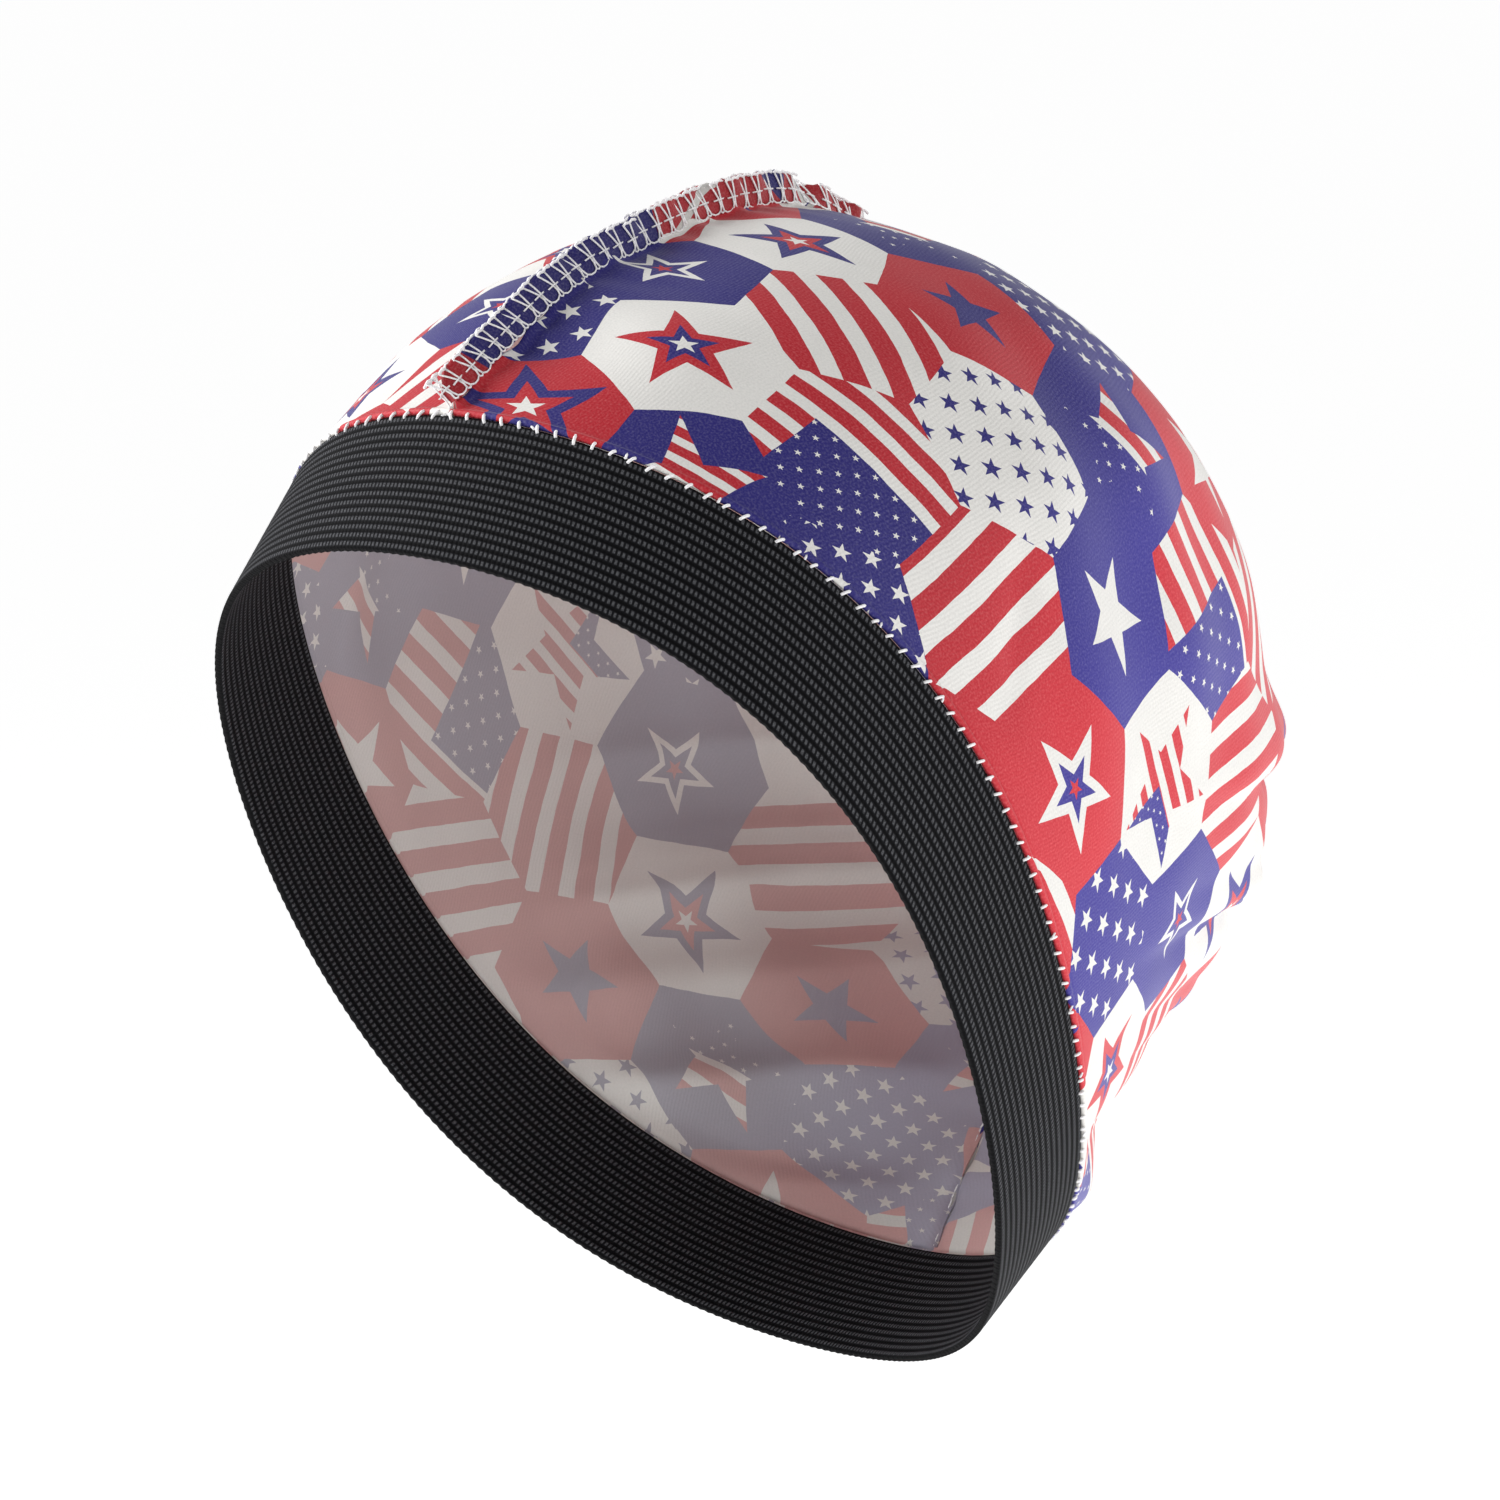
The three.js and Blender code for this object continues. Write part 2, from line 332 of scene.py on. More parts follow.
    def outward(self, round_: np.ndarray, rise: np.ndarray) -> np.ndarray:
        """The directions out of the smooth surface.

        Args:
            round_: angles round the cap.
            rise: the rises up it.

        Returns:
            The directions.
        """
        near = np.clip(rise, self.probe, 90.0 - 2.0 * self.probe)
        around = self.smooth(round_ + self.probe, near) - self.smooth(round_ - self.probe, near)
        upward = self.smooth(round_, near + self.probe) - self.smooth(round_, near - self.probe)
        return unit(np.cross(around, upward))

    def worn_height(self, points: np.ndarray) -> np.ndarray:
        """The height of upright points once the cap is tilted as it is worn."""
        return points[..., 2] * math.cos(self.rim_tilt) - points[..., 1] * math.sin(self.rim_tilt)

    def seat(self) -> np.ndarray:
        """The highest point of the hollow's midline, where the head carries the cap."""
        rise = np.arange(0.0, 90.0 + self.probe, self.probe)
        ahead = np.zeros_like(rise)
        inner = self.smooth(ahead, rise) - self.outward(ahead, rise) * self.wall
        return inner[np.argmax(self.worn_height(inner))]

    def fold_push(self, side: Side, round_: np.ndarray, rise: np.ndarray) -> np.ndarray:
        """How far the back folds push the cloth of one panel out.

        Args:
            side: the panel.
            round_: angles round the cap.
            rise: the rises up it.

        Returns:
            The push at each place, which is below 0 in a crease.
        """
        level = self.worn_height(self.smooth(round_, rise)) - self.worn_height(self.seat())
        folds = self.left_folds if side is Side.LEFT else self.right_folds
        push = np.zeros_like(level)
        for fold in folds:
            share = np.clip((level - fold.level) / fold.swell, 0.0, 1.0)
            bulge = 0.5 - 0.5 * np.cos(2.0 * math.pi * share**self.fold_skew)
            start = smoothstep(round_, fold.reach, fold.reach + self.fold_run)
            push += fold.proud * bulge * start
        offset = 0.0 if side is Side.LEFT else self.crease_offset
        for crease in self.creases:
            gap = np.abs(level + offset - crease.level) / crease.half_width
            start = smoothstep(round_, crease.reach, crease.reach + self.crease_run)
            push -= crease.depth * np.exp(-(gap**1.5)) * start
        from_seam = smoothstep(180.0 - round_, 0.0, self.seam_still)
        return push * from_seam * smoothstep(rise, 0.0, self.band_still)

    def loop(self, count: int) -> tuple[np.ndarray, np.ndarray]:
        """Evenly turned places right round the cap.

        Args:
            count: the number of places.

        Returns:
            Their angles on the left half, and what mirrors each point to its own half.
        """
        turn = np.linspace(0.0, 360.0, count, endpoint=False)
        mirror = np.ones((count, 3))
        mirror[:, 0] = np.where(turn <= 180.0, 1.0, -1.0)
        return np.where(turn <= 180.0, turn, 360.0 - turn), mirror

    def worn(self, points: np.ndarray) -> np.ndarray:
        """Upright points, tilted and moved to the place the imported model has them."""
        seat = self.seat()
        y, z = points[..., 1] - seat[1], points[..., 2] - seat[2]
        cosine, sine = math.cos(self.rim_tilt), math.sin(self.rim_tilt)
        return np.stack([points[..., 0], y * cosine + z * sine, z * cosine - y * sine], -1)


# ---------------------------------------------------------------------------
# Meshes from grids of points
# ---------------------------------------------------------------------------


@dataclass
class Skin:
    """A sheet of quads being built from rows of points, with a UV map for each pattern.

    Attributes:
        name: the mesh's name.
        vertices: the points so far.
        faces: the faces so far, as vertex numbers.
        corners: for each UV map, one pair of numbers for each face corner.
    """

    name: str
    vertices: list[np.ndarray] = field(default_factory=list)
    faces: list[tuple[int, ...]] = field(default_factory=list)
    corners: dict[str, list[np.ndarray]] = field(default_factory=dict)

    def add_points(self, points: np.ndarray) -> np.ndarray:
        """Adds points and gives their numbers, in the shape of the grid."""
        start = sum(len(block) for block in self.vertices)
        flat = points.reshape(-1, 3)
        self.vertices.append(flat)
        return np.arange(start, start + len(flat)).reshape(points.shape[:-1])

    def add_quads(self, numbers: np.ndarray, maps: dict[str, np.ndarray], flip: bool) -> None:
        """Adds the quads of a grid.

        Args:
            numbers: vertex numbers in rows and columns. A repeated last row or column closes
                the grid.
            maps: for each UV map, a pair of numbers for each place in the grid.
            flip: whether the faces look the other way.
        """
        order = [(0, 0), (0, 1), (1, 1), (1, 0)]
        if flip:
            order.reverse()
        rows, columns = numbers.shape

        def corner(grid: np.ndarray, row: int, column: int) -> np.ndarray:
            """One corner of every quad of the grid."""
            return grid[row:rows - 1 + row, column:columns - 1 + column]

        quads = np.stack([corner(numbers, *at) for at in order], -1).reshape(-1, 4)
        keep = np.array([len(set(quad)) == 4 for quad in quads.tolist()])
        fans = [np.unique(quad, return_index=True)[1] for quad in quads[~keep]]
        self.faces.extend(map(tuple, quads[keep].tolist()))
        for name, grid in maps.items():
            values = np.stack([corner(grid, *at) for at in order], -2).reshape(-1, 4, 2)
            store = self.corners.setdefault(name, [])
            store.append(values[keep].reshape(-1, 2))
            for quad_values, picks in zip(values[~keep], fans):
                store.append(quad_values[np.sort(picks)])
        for quad, picks in zip(quads[~keep], fans):
            self.faces.append(tuple(quad[np.sort(picks)].tolist()))

    def finish(self, form: Optional[CapForm] = None) -> bpy.types.Object:
        """Makes the object.

        Args:
            form: the form whose worn place the points take, or None if they are there.

        Returns:
            The object, smooth, in the scene.
        """
        points = np.concatenate(self.vertices)
        if form is not None:
            points = form.worn(points)
        mesh = bpy.data.meshes.new(self.name)
        mesh.from_pydata(points.tolist(), [], self.faces)
        for name, blocks in self.corners.items():
            layer = mesh.uv_layers.new(name=name)
            layer.data.foreach_set("uv", np.concatenate(blocks).astype(np.float32).ravel())
        mesh.polygons.foreach_set("use_smooth", np.ones(len(mesh.polygons), dtype=bool))
        mesh.update()
        return put_in_scene(self.name, mesh)


# ---------------------------------------------------------------------------
# Shader maths
# ---------------------------------------------------------------------------


class Value:
    """A number that varies over a surface. Its operators add Math nodes."""

    def __init__(self, board: "Board", socket: bpy.types.NodeSocket) -> None:
        """Wraps a socket of a board."""
        self.board = board
        self.socket = socket

    def math(self, operation: str, *others: Number) -> "Value":
        """The result of a Math node on this value and others."""
        inputs = {index: value for index, value in enumerate((self, *others))}
        return self.board.value("ShaderNodeMath", {"operation": operation}, inputs)

    def __add__(self, other: Number) -> "Value":
        """The sum."""
        return self.math("ADD", other)

    def __radd__(self, other: Number) -> "Value":
        """The sum, with the number first."""
        return self.math("ADD", other)

    def __sub__(self, other: Number) -> "Value":
        """The difference."""
        return self.math("SUBTRACT", other)

    def __rsub__(self, other: float) -> "Value":
        """A number less this value."""
        return self.board.value("ShaderNodeMath", {"operation": "SUBTRACT"}, {0: other, 1: self})

    def __mul__(self, other: Number) -> "Value":
        """The product."""
        return self.math("MULTIPLY", other)

    def __rmul__(self, other: Number) -> "Value":
        """The product, with the number first."""
        return self.math("MULTIPLY", other)

    def __truediv__(self, other: Number) -> "Value":
        """The quotient."""
        return self.math("DIVIDE", other)

    def __abs__(self) -> "Value":
        """The size without its sign."""
        return self.math("ABSOLUTE")

    def __lt__(self, other: Number) -> "Value":
        """1 where this is the smaller, else 0."""
        return self.math("LESS_THAN", other)

    def __gt__(self, other: Number) -> "Value":
        """1 where this is the larger, else 0."""
        return self.math("GREATER_THAN", other)

    def floor(self) -> "Value":
        """The whole number below."""
        return self.math("FLOOR")

    def round(self) -> "Value":
        """The nearest whole number."""
        return self.math("ROUND")

    def fraction(self) -> "Value":
        """What is left past the whole number below."""
        return self.math("FRACT")

    def sine(self) -> "Value":
        """The sine of this angle in radians."""
        return self.math("SINE")

    def cosine(self) -> "Value":
        """The cosine of this angle in radians."""
        return self.math("COSINE")

    def within(self, period: float) -> "Value":
        """What is left past the whole periods below."""
        return self.math("WRAP", period, 0.0)

    def step(self, low: float, high: float) -> "Value":
        """A soft step from 0 at low to 1 at high."""
        settings = {"interpolation_type": "SMOOTHSTEP"}
        inputs = {"Value": self, "From Min": low, "From Max": high}
        return self.board.value("ShaderNodeMapRange", settings, inputs)


class Board:
    """A material's node tree, written one node at a time."""

    def __init__(self, name: str) -> None:
        """Makes a material with an empty tree."""
        self.material = bpy.data.materials.new(name)
        self.material.use_nodes = True
        self.tree = self.material.node_tree
        self.tree.nodes.clear()

    def node(self, kind: str, settings: Optional[dict] = None,
             inputs: Optional[dict] = None) -> bpy.types.Node:
        """Adds a node.

        Args:
            kind: the node's type.
            settings: its properties, set before its sockets. "stops" fills a colour ramp.
            inputs: values or links for its sockets, by name or number.

        Returns:
            The node.
        """
        made = self.tree.nodes.new(kind)
        for name, value in (settings or {}).items():
            if name == "stops":
                self._fill_ramp(made.color_ramp, value)
            else:
                setattr(made, name, value)
        for name, value in (inputs or {}).items():
            self.feed(made.inputs[name], value)
        return made

    def feed(self, socket: bpy.types.NodeSocket, value: object) -> None:
        """Links a value or a socket to an input, or sets a plain number or colour on it."""
        if isinstance(value, Value):
            self.tree.links.new(value.socket, socket)
        elif isinstance(value, bpy.types.NodeSocket):
            self.tree.links.new(value, socket)
        else:
            socket.default_value = value

    def value(self, kind: str, settings: dict, inputs: dict) -> Value:
        """Adds a node and gives its first output as a number."""
        return Value(self, self.node(kind, settings, inputs).outputs[0])

    def mix_colour(self, share: Number, low: object, high: object,
                   blend: str = "MIX") -> bpy.types.NodeSocket:
        """Mixes two colours.

        Args:
            share: how much of the second colour there is.
            low: the first colour.
            high: the second colour.
            blend: how they are put together.

        Returns:
            The mixed colour.
        """
        settings = {"data_type": "RGBA", "blend_type": blend}
        made = self.node("ShaderNodeMix", settings, {0: share, 6: low, 7: high})
        return made.outputs[2]

    def pick(self, mask: Number, low: Number, high: Number) -> Value:
        """The second number where the mask is 1, and the first where it is 0."""
        return self.value("ShaderNodeMix", {"data_type": "FLOAT"}, {0: mask, 2: low, 3: high})

    def noise(self, place: bpy.types.NodeSocket, scale: float, detail: float = 2.0) -> Value:
        """Cloudy noise from about 0 to 1."""
        inputs = {"Vector": place, "Scale": scale, "Detail": detail}
        return self.value("ShaderNodeTexNoise", {}, inputs)

    def uv(self, name: str) -> bpy.types.NodeSocket:
        """A piece's own UV map."""
        return self.node("ShaderNodeUVMap", {"uv_map": name}).outputs[0]

    def split(self, vector: bpy.types.NodeSocket) -> tuple[Value, Value, Value]:
        """The three parts of a vector."""
        made = self.node("ShaderNodeSeparateXYZ", {}, {0: vector})
        return tuple(Value(self, socket) for socket in made.outputs)

    def bump(self, height: Value, strength: float, distance: float) -> bpy.types.NodeSocket:
        """A normal roughened by a height."""
        inputs = {"Strength": strength, "Distance": distance, "Height": height}
        return self.node("ShaderNodeBump", {}, inputs).outputs[0]

    def cloth(self, inputs: dict) -> bpy.types.Material:
        """Closes the tree with one cloth shader.

        Args:
            inputs: values or links for the shader's sockets.

        Returns:
            The finished material.
        """
        shader = self.node("ShaderNodeBsdfPrincipled", {}, inputs)
        self.node("ShaderNodeOutputMaterial", {}, {"Surface": shader.outputs[0]})
        return self.material

    @staticmethod
    def _fill_ramp(ramp: bpy.types.ColorRamp, stops: Sequence[Sequence[float]]) -> None:
        """Fills a ramp of even steps, each with four numbers."""
        ramp.interpolation = "CONSTANT"
        while len(ramp.elements) < len(stops):
            ramp.elements.new(1.0)
        for index, four in enumerate(stops):
            ramp.elements[index].position = index / len(stops)
            ramp.elements[index].color = four


# ---------------------------------------------------------------------------
# The print: a patchwork of hexagons
# ---------------------------------------------------------------------------


class Ink(Enum):
    """A colour of the print, as the number that stands for it in the shader."""

    WHITE = 0.0
    RED = 0.5
    BLUE = 1.0


class Spread(Enum):
    """Where a patch shows stripes: nowhere, within its star, or all over."""

    NONE = 0.0
    STAR = 0.5
    WHOLE = 1.0


class Patch(NamedTuple):
    """One hexagon of the print. Lengths are in hexagon sides, and angles in degrees.

    Attributes:
        ground: the ink behind everything.
        outer, middle, core: the inks of the star's nested outlines.
        reach, middle_reach, core_reach: how far their tips reach, or 0 for none.
        field: the spacing of a field of small stars in the outer ink, or of a canton's dots.
        shift: how far the figures are off the hexagon's centre.
        spread: where stripes show.
        run: the direction the stripes run in.
        pitch: the width of a red and a white stripe together.
        phase: how far off the centre the middle of a red stripe is.
        canton: the height below which the stripes give way to dotted blue.
        side: the length along the stripes past which they do.
    """

    ground: Ink
    outer: Ink = Ink.WHITE
    middle: Ink = Ink.WHITE
    core: Ink = Ink.WHITE
    reach: float = 0.0
    middle_reach: float = 0.0
    core_reach: float = 0.0
    field: float = 0.0
    shift: tuple[float, float] = (0.0, 0.0)
    spread: Spread = Spread.NONE
    run: float = 0.0
    pitch: float = 1.0
    phase: float = 0.0
    canton: float = -1.0
    side: float = -1.0


# Each patch's figures and inks were charted. The stripes' runs, pitches and phases, apart
# from STRIPES_LOW, and most of the stars' sizes were measured by a program.
W, R, B = Ink.WHITE, Ink.RED, Ink.BLUE
STAR_ON_WHITE = Patch(W, R, B, W, 0.65, 0.34, 0.14)
STAR_ON_WHITE_BLUE = Patch(W, B, R, W, 0.65, 0.36, 0.14)
STAR_ON_RED = Patch(R, W, B, R, 0.63, 0.33, 0.11, shift=(0.0, -0.06))
STAR_ON_RED_LARGE = Patch(R, B, R, W, 0.80, 0.45, 0.18)
STAR_ON_BLUE = Patch(B, W, B, R, 0.48, 0.30, 0.11, shift=(-0.05, 0.04))
PLAIN_STAR_ON_BLUE = Patch(B, W, reach=0.545)
PLAIN_STAR_ON_RED = Patch(R, B, reach=0.49)
WHITE_STAR_ON_RED = Patch(R, W, reach=0.56, shift=(0.15, -0.03))
SMALL_ON_WHITE = Patch(W, B, field=0.32, shift=(-0.05, 0.09))
SMALL_ON_BLUE = Patch(B, W, field=0.28, shift=(-0.09, 0.11))
SMALL_ON_BLUE_OPEN = Patch(B, W, field=0.39, shift=(-0.10, 0.15))
STRIPES = Patch(R, spread=Spread.WHOLE, run=165.0, pitch=0.447, phase=0.205)
STRIPES_STEEP = Patch(R, spread=Spread.WHOLE, run=108.0, pitch=0.40, phase=-0.055)
STRIPES_LOW = Patch(R, spread=Spread.WHOLE, run=38.0, pitch=0.45, phase=0.10)
BARS = Patch(R, spread=Spread.WHOLE, run=120.0, pitch=0.415, phase=0.06)
FLAG = Patch(R, field=0.175, spread=Spread.WHOLE, run=27.0, pitch=0.32, phase=-0.05,
             canton=0.05, side=-0.47)
FLAG_TALL = Patch(R, field=0.225, spread=Spread.WHOLE, run=26.0, pitch=0.385, phase=-0.145,
                  canton=0.45, side=-0.07)
FLAG_STAR_ON_WHITE = Patch(W, W, reach=0.81, field=0.12, shift=(0.05, -0.02),
                           spread=Spread.STAR, run=31.0, pitch=0.235, phase=0.105,
                           canton=-0.08, side=0.01)
FLAG_STAR_ON_BLUE = Patch(B, W, reach=0.73, field=0.18, shift=(0.08, -0.04),
                          spread=Spread.STAR, run=30.0, pitch=0.34, phase=0.155, canton=-0.04)
FLAG_STAR_NARROW = Patch(B, W, reach=0.82, field=0.18, spread=Spread.STAR, run=34.0,
                         pitch=0.19, phase=0.345, canton=-0.30)

# The print repeats every COLUMNS columns, half a row further up, and every ROWS rows. Each
# list goes up one column of hexagons. In an odd column it starts half a hexagon higher.
COLUMNS = 5
ROWS = 6
CHART: tuple[tuple[Patch, ...], ...] = (
    (SMALL_ON_WHITE, FLAG_STAR_ON_BLUE, WHITE_STAR_ON_RED,
     STAR_ON_WHITE_BLUE, FLAG_STAR_NARROW, FLAG),
    (PLAIN_STAR_ON_BLUE, FLAG_TALL, STRIPES,
     STAR_ON_WHITE, SMALL_ON_BLUE, BARS),
    (STAR_ON_RED, FLAG_STAR_ON_WHITE, STRIPES_STEEP,
     PLAIN_STAR_ON_RED, SMALL_ON_WHITE, PLAIN_STAR_ON_RED),
    (SMALL_ON_BLUE_OPEN, STAR_ON_BLUE, STAR_ON_WHITE_BLUE,
     FLAG_STAR_ON_BLUE, STAR_ON_RED, STRIPES_LOW),
    (STAR_ON_RED_LARGE, STAR_ON_WHITE, STRIPES,
     PLAIN_STAR_ON_RED, SMALL_ON_BLUE, FLAG),
)


@dataclass(frozen=True)
class PrintChart:
    """How the print lies on the panels.

    A panel is flattened side-on: a place on it is found by its angle away from the middle of
    the side, and the direction of that angle. The print's hexagons have sides of length one
    in the flattened panel, and the right panel is cut from the print turned upside down.
    On the left panel the worn cloth draws the print a little in two places. These two pulls
    were set, and the values before them were fitted by a program.

    Attributes:
        centre_height: the height on the cap's axis that angles are taken from.
        length_share, height_share: how the cap's length and height are shrunk to its width.
        ease: how much the flattened panel draws in far from the middle of the side.
        across, along: the places across and along the print for a step back and a step up.
        left_origin, right_origin: where the middle of each side is in the print.
        crown_draw, crown_span: the pull along the print near its top, and where it comes in.
        back_draw, back_span: the pull across it low behind, and where that comes in.
    """

    centre_height: float = 0.051
    length_share: float = 1.29
    height_share: float = 1.30
    ease: float = 0.04
    across: tuple[float, float] = (3.88, -3.66)
    along: tuple[float, float] = (3.09, 4.53)
    left_origin: tuple[float, float] = (3.32, 0.50)
    right_origin: tuple[float, float] = (1.31, 3.00)
    crown_draw: float = 0.30
    crown_span: tuple[float, float] = (-0.4, 1.4)
    back_draw: float = 0.45
    back_span: tuple[float, float] = (2.6, 4.4)

    def stretch(self, place: np.ndarray) -> np.ndarray:
        """Places in the left panel's print, drawn along near its top and across low behind."""
        along = self.crown_draw * smoothstep(place[..., 1], *self.crown_span)
        across = -self.back_draw * smoothstep(-place[..., 1], *self.back_span)
        return place + np.stack([across, along], -1)

    def place(self, side: Side, points: np.ndarray) -> np.ndarray:
        """Where upright points of the left half, or of its mirror image, are in the print.

        Args:
            side: the panel they are on.
            points: the points, as the left half has them.

        Returns:
            A pair of numbers for each point, in hexagon sides.
        """
        middle = np.array([0.0, 0.0, self.centre_height])
        ray = unit((points - middle) / np.array([1.0, self.length_share, self.height_share]))
        angle = np.arccos(np.clip(ray[..., 0], -1.0, 1.0))
        share = angle * (1.0 - self.ease * angle**2) / np.maximum(np.sin(angle), 1e-9)
        back = share * ray[..., 1] * side.value
        up = share * ray[..., 2]
        x = self.across[0] * back + self.across[1] * up
        y = self.along[0] * back + self.along[1] * up
        if side is Side.LEFT:
            return self.stretch(np.stack([x, y], -1) + np.array(self.left_origin))
        return np.stack([self.right_origin[0] - x, self.right_origin[1] - y], -1)


@dataclass(frozen=True)
class Lattice:
    """A slanted grid of small figures, given by its two steps in hexagon sides."""

    step_up: tuple[float, float] = (0.20, 0.98)
    step_along: tuple[float, float] = (0.95, -0.40)

    def nearest(self, x: Value, y: Value) -> tuple[Value, Value]:
        """The place of a point against the nearest grid point.

        Args:
            x: the point across, in the grid's unit.
            y: the point along.

        Returns:
            How far it is from the grid point, across and along.
        """
        (ux, uy), (ax, ay) = self.step_up, self.step_along
        area = ux * ay - uy * ax
        rows = (x * ay - y * ax) * (1.0 / area)
        columns = (y * ux - x * uy) * (1.0 / area)
        row = rows - rows.round()
        column = columns - columns.round()
        return row * ux + column * ax, row * uy + column * ay


@dataclass(frozen=True)
class HexPrint:
    """The inks of the patchwork, worked out from a place in the print.

    Attributes:
        star_turn: how far the stars are turned.
        star_notch: how far out a star's inner corners are, as a share of its tips.
        small_star, dot: the size of a small star and of a dot, against their spacing.
        red_share: a red stripe's share of the pitch.
        waver: how far the printed edges waver, in hexagon sides.
        waver_scales: the scales of that wavering, across and along.
        lattice: the grid of the small figures.
    """

    star_turn: float = math.radians(10.0)
    star_notch: float = 0.40
    small_star: float = 0.34
    dot: float = 0.20
    red_share: float = 0.55
    waver: float = 0.030
    waver_scales: tuple[float, float] = (2.3, 2.9)
    lattice: Lattice = Lattice()

    def star(self, x: Value, y: Value) -> Value:
        """How large a five-pointed star about the origin must be to reach a place.

        Args:
            x: the place across.
            y: the place along.

        Returns:
            The reach of such a star's tips.
        """
        fifth = 2.0 * math.pi / 5.0
        turn = y.math("ARCTAN2", x) - self.star_turn
        fold = abs((turn + 0.5 * fifth).within(fifth) - 0.5 * fifth)
        length = (x * x + y * y).math("SQRT")
        half = math.pi / 5.0
        steep = (1.0 - self.star_notch * math.cos(half)) / (self.star_notch * math.sin(half))
        return length * (fold.cosine() + fold.sine() * steep)

    def cell(self, x: Value, y: Value) -> tuple[Value, Value, Value]:
        """The hexagon a place is in.

        Args:
            x: the place across, in hexagon sides.
            y: the place along.

        Returns:
            The place against the hexagon's centre, and the hexagon's share of the chart.
        """
        row_step = math.sqrt(3.0)
        x_even = x - 3.0 * (x / 3.0).round()
        y_even = y - row_step * (y / row_step).round()
        x_odd_all, y_odd_all = x - 1.5, y - 0.5 * row_step
        x_odd = x_odd_all - 3.0 * (x_odd_all / 3.0).round()
        y_odd = y_odd_all - row_step * (y_odd_all / row_step).round()
        even = (x_even * x_even + y_even * y_even) < (x_odd * x_odd + y_odd * y_odd)
        near_x = x.board.pick(even, x_odd, x_even)
        near_y = x.board.pick(even, y_odd, y_even)
        column = ((x - near_x) / 1.5).round()
        row = (y - near_y) / row_step
        repeat = ((column + 0.5) / COLUMNS).floor()
        chart_column = column - COLUMNS * repeat
        chart_row = (row - 0.5 * COLUMNS * repeat + 0.25).within(ROWS).floor()
        share = (chart_column * ROWS + chart_row + 0.5) / (COLUMNS * ROWS)
        return near_x, near_y, share

    def table(self, share: Value, columns: Callable[[Patch], tuple[float, ...]]) -> list[Value]:
        """Looks a patch up.

        Args:
            share: the patch's share of the chart.
            columns: gives four numbers of a patch, each from 0 to 1.

        Returns:
            The four numbers of the patch that a place is in.
        """
        board = share.board
        stops = [columns(patch) for column in CHART for patch in column]
        ramp = board.node("ShaderNodeValToRGB", {"stops": stops}, {0: share})
        parts = board.node("ShaderNodeSeparateColor", {}, {0: ramp.outputs[0]})
        return [Value(board, socket) for socket in (*parts.outputs, ramp.outputs[1])]

    def ink(self, board: Board, place: bpy.types.NodeSocket) -> Value:
        """The ink at a place.

        Args:
            board: the material's board.
            place: the place in the print.

        Returns:
            The number that stands for the ink.
        """
        raw_x, raw_y, _ = board.split(place)
        x = raw_x + (board.noise(place, self.waver_scales[0]) - 0.5) * self.waver
        y = raw_y + (board.noise(place, self.waver_scales[1]) - 0.5) * self.waver
        x, y, share = self.cell(x, y)
        ground, outer, middle, core = self.table(
            share, lambda p: (p.ground.value, p.outer.value, p.middle.value, p.core.value))
        reach, middle_reach, core_reach, field_step = self.table(
            share, lambda p: (p.reach, p.middle_reach, p.core_reach, p.field))
        spread, run, pitch, canton = self.table(
            share, lambda p: (p.spread.value, p.run / 180.0, p.pitch, 0.5 + 0.5 * p.canton))
        phase, side, shift_x, shift_y = self.table(
            share, lambda p: tuple(0.5 + 0.5 * n for n in (p.phase, p.side, *p.shift)))

        angle = run * math.pi
        height = y * angle.cosine() - x * angle.sine()
        length = x * angle.cosine() + y * angle.sine()
        off_red = ((height - phase * 2.0 + 1.0) / pitch + 0.5).fraction() - 0.5
        stripe = (abs(off_red) < 0.5 * self.red_share) * Ink.RED.value
        x = x - shift_x * 2.0 + 1.0
        y = y - shift_y * 2.0 + 1.0
        safe_step = field_step + 0.001
        small_x, small_y = self.lattice.nearest(x / safe_step, y / safe_step)
        small_size = self.star(small_x, small_y)
        small = (small_size < self.small_star) * (field_step > 0.01) * (spread < 0.25)
        dotted = board.pick(small_size < self.dot, Ink.BLUE.value, Ink.WHITE.value)
        in_canton = (height < canton * 2.0 - 1.0) * (length > side * 2.0 - 1.0)
        flag = board.pick(in_canton, stripe, dotted)
        star = self.star(x, y)
        in_star = star < reach
        striped = board.pick(in_star, spread > 0.75, spread > 0.25)

        ink = board.pick(small, ground, outer)
        ink = board.pick(in_star, ink, outer)
        ink = board.pick(striped, ink, flag)
        ink = board.pick(star < middle_reach, ink, middle)
        return board.pick(star < core_reach, ink, core)


class Strip(NamedTuple):
    """A strip of one ink across the fin: where it starts at the foot and at the edge, in mm."""

    ink: Ink
    foot: float
    edge: float


# The inks along the fin from the forehead. Those past about 101 mm are made up.
FIN_STRIPS: tuple[Strip, ...] = (
    Strip(Ink.BLUE, 10.0, 9.0),
    Strip(Ink.RED, 63.0, 63.0),
    Strip(Ink.WHITE, 67.0, 79.0),
    Strip(Ink.RED, 70.5, 83.0),
    Strip(Ink.BLUE, 100.0, 94.0),
    Strip(Ink.RED, 100.5, 102.0),
    Strip(Ink.WHITE, 106.0, 105.0),
    Strip(Ink.BLUE, 107.5, 106.5),
    Strip(Ink.WHITE, 108.5, 108.0),
    Strip(Ink.RED, 110.5, 110.0),
    Strip(Ink.BLUE, 127.0, 126.0),
    Strip(Ink.WHITE, 132.0, 131.0),
    Strip(Ink.RED, 136.0, 138.0),
    Strip(Ink.BLUE, 162.0, 160.0),
    Strip(Ink.WHITE, 194.0, 199.0),
    Strip(Ink.RED, 213.0, 210.0),
    Strip(Ink.BLUE, 246.0, 251.0),
    Strip(Ink.WHITE, 279.0, 276.0),
    Strip(Ink.RED, 301.0, 305.0),
    Strip(Ink.BLUE, 342.0, 339.0),
    Strip(Ink.WHITE, 371.0, 375.0),
)


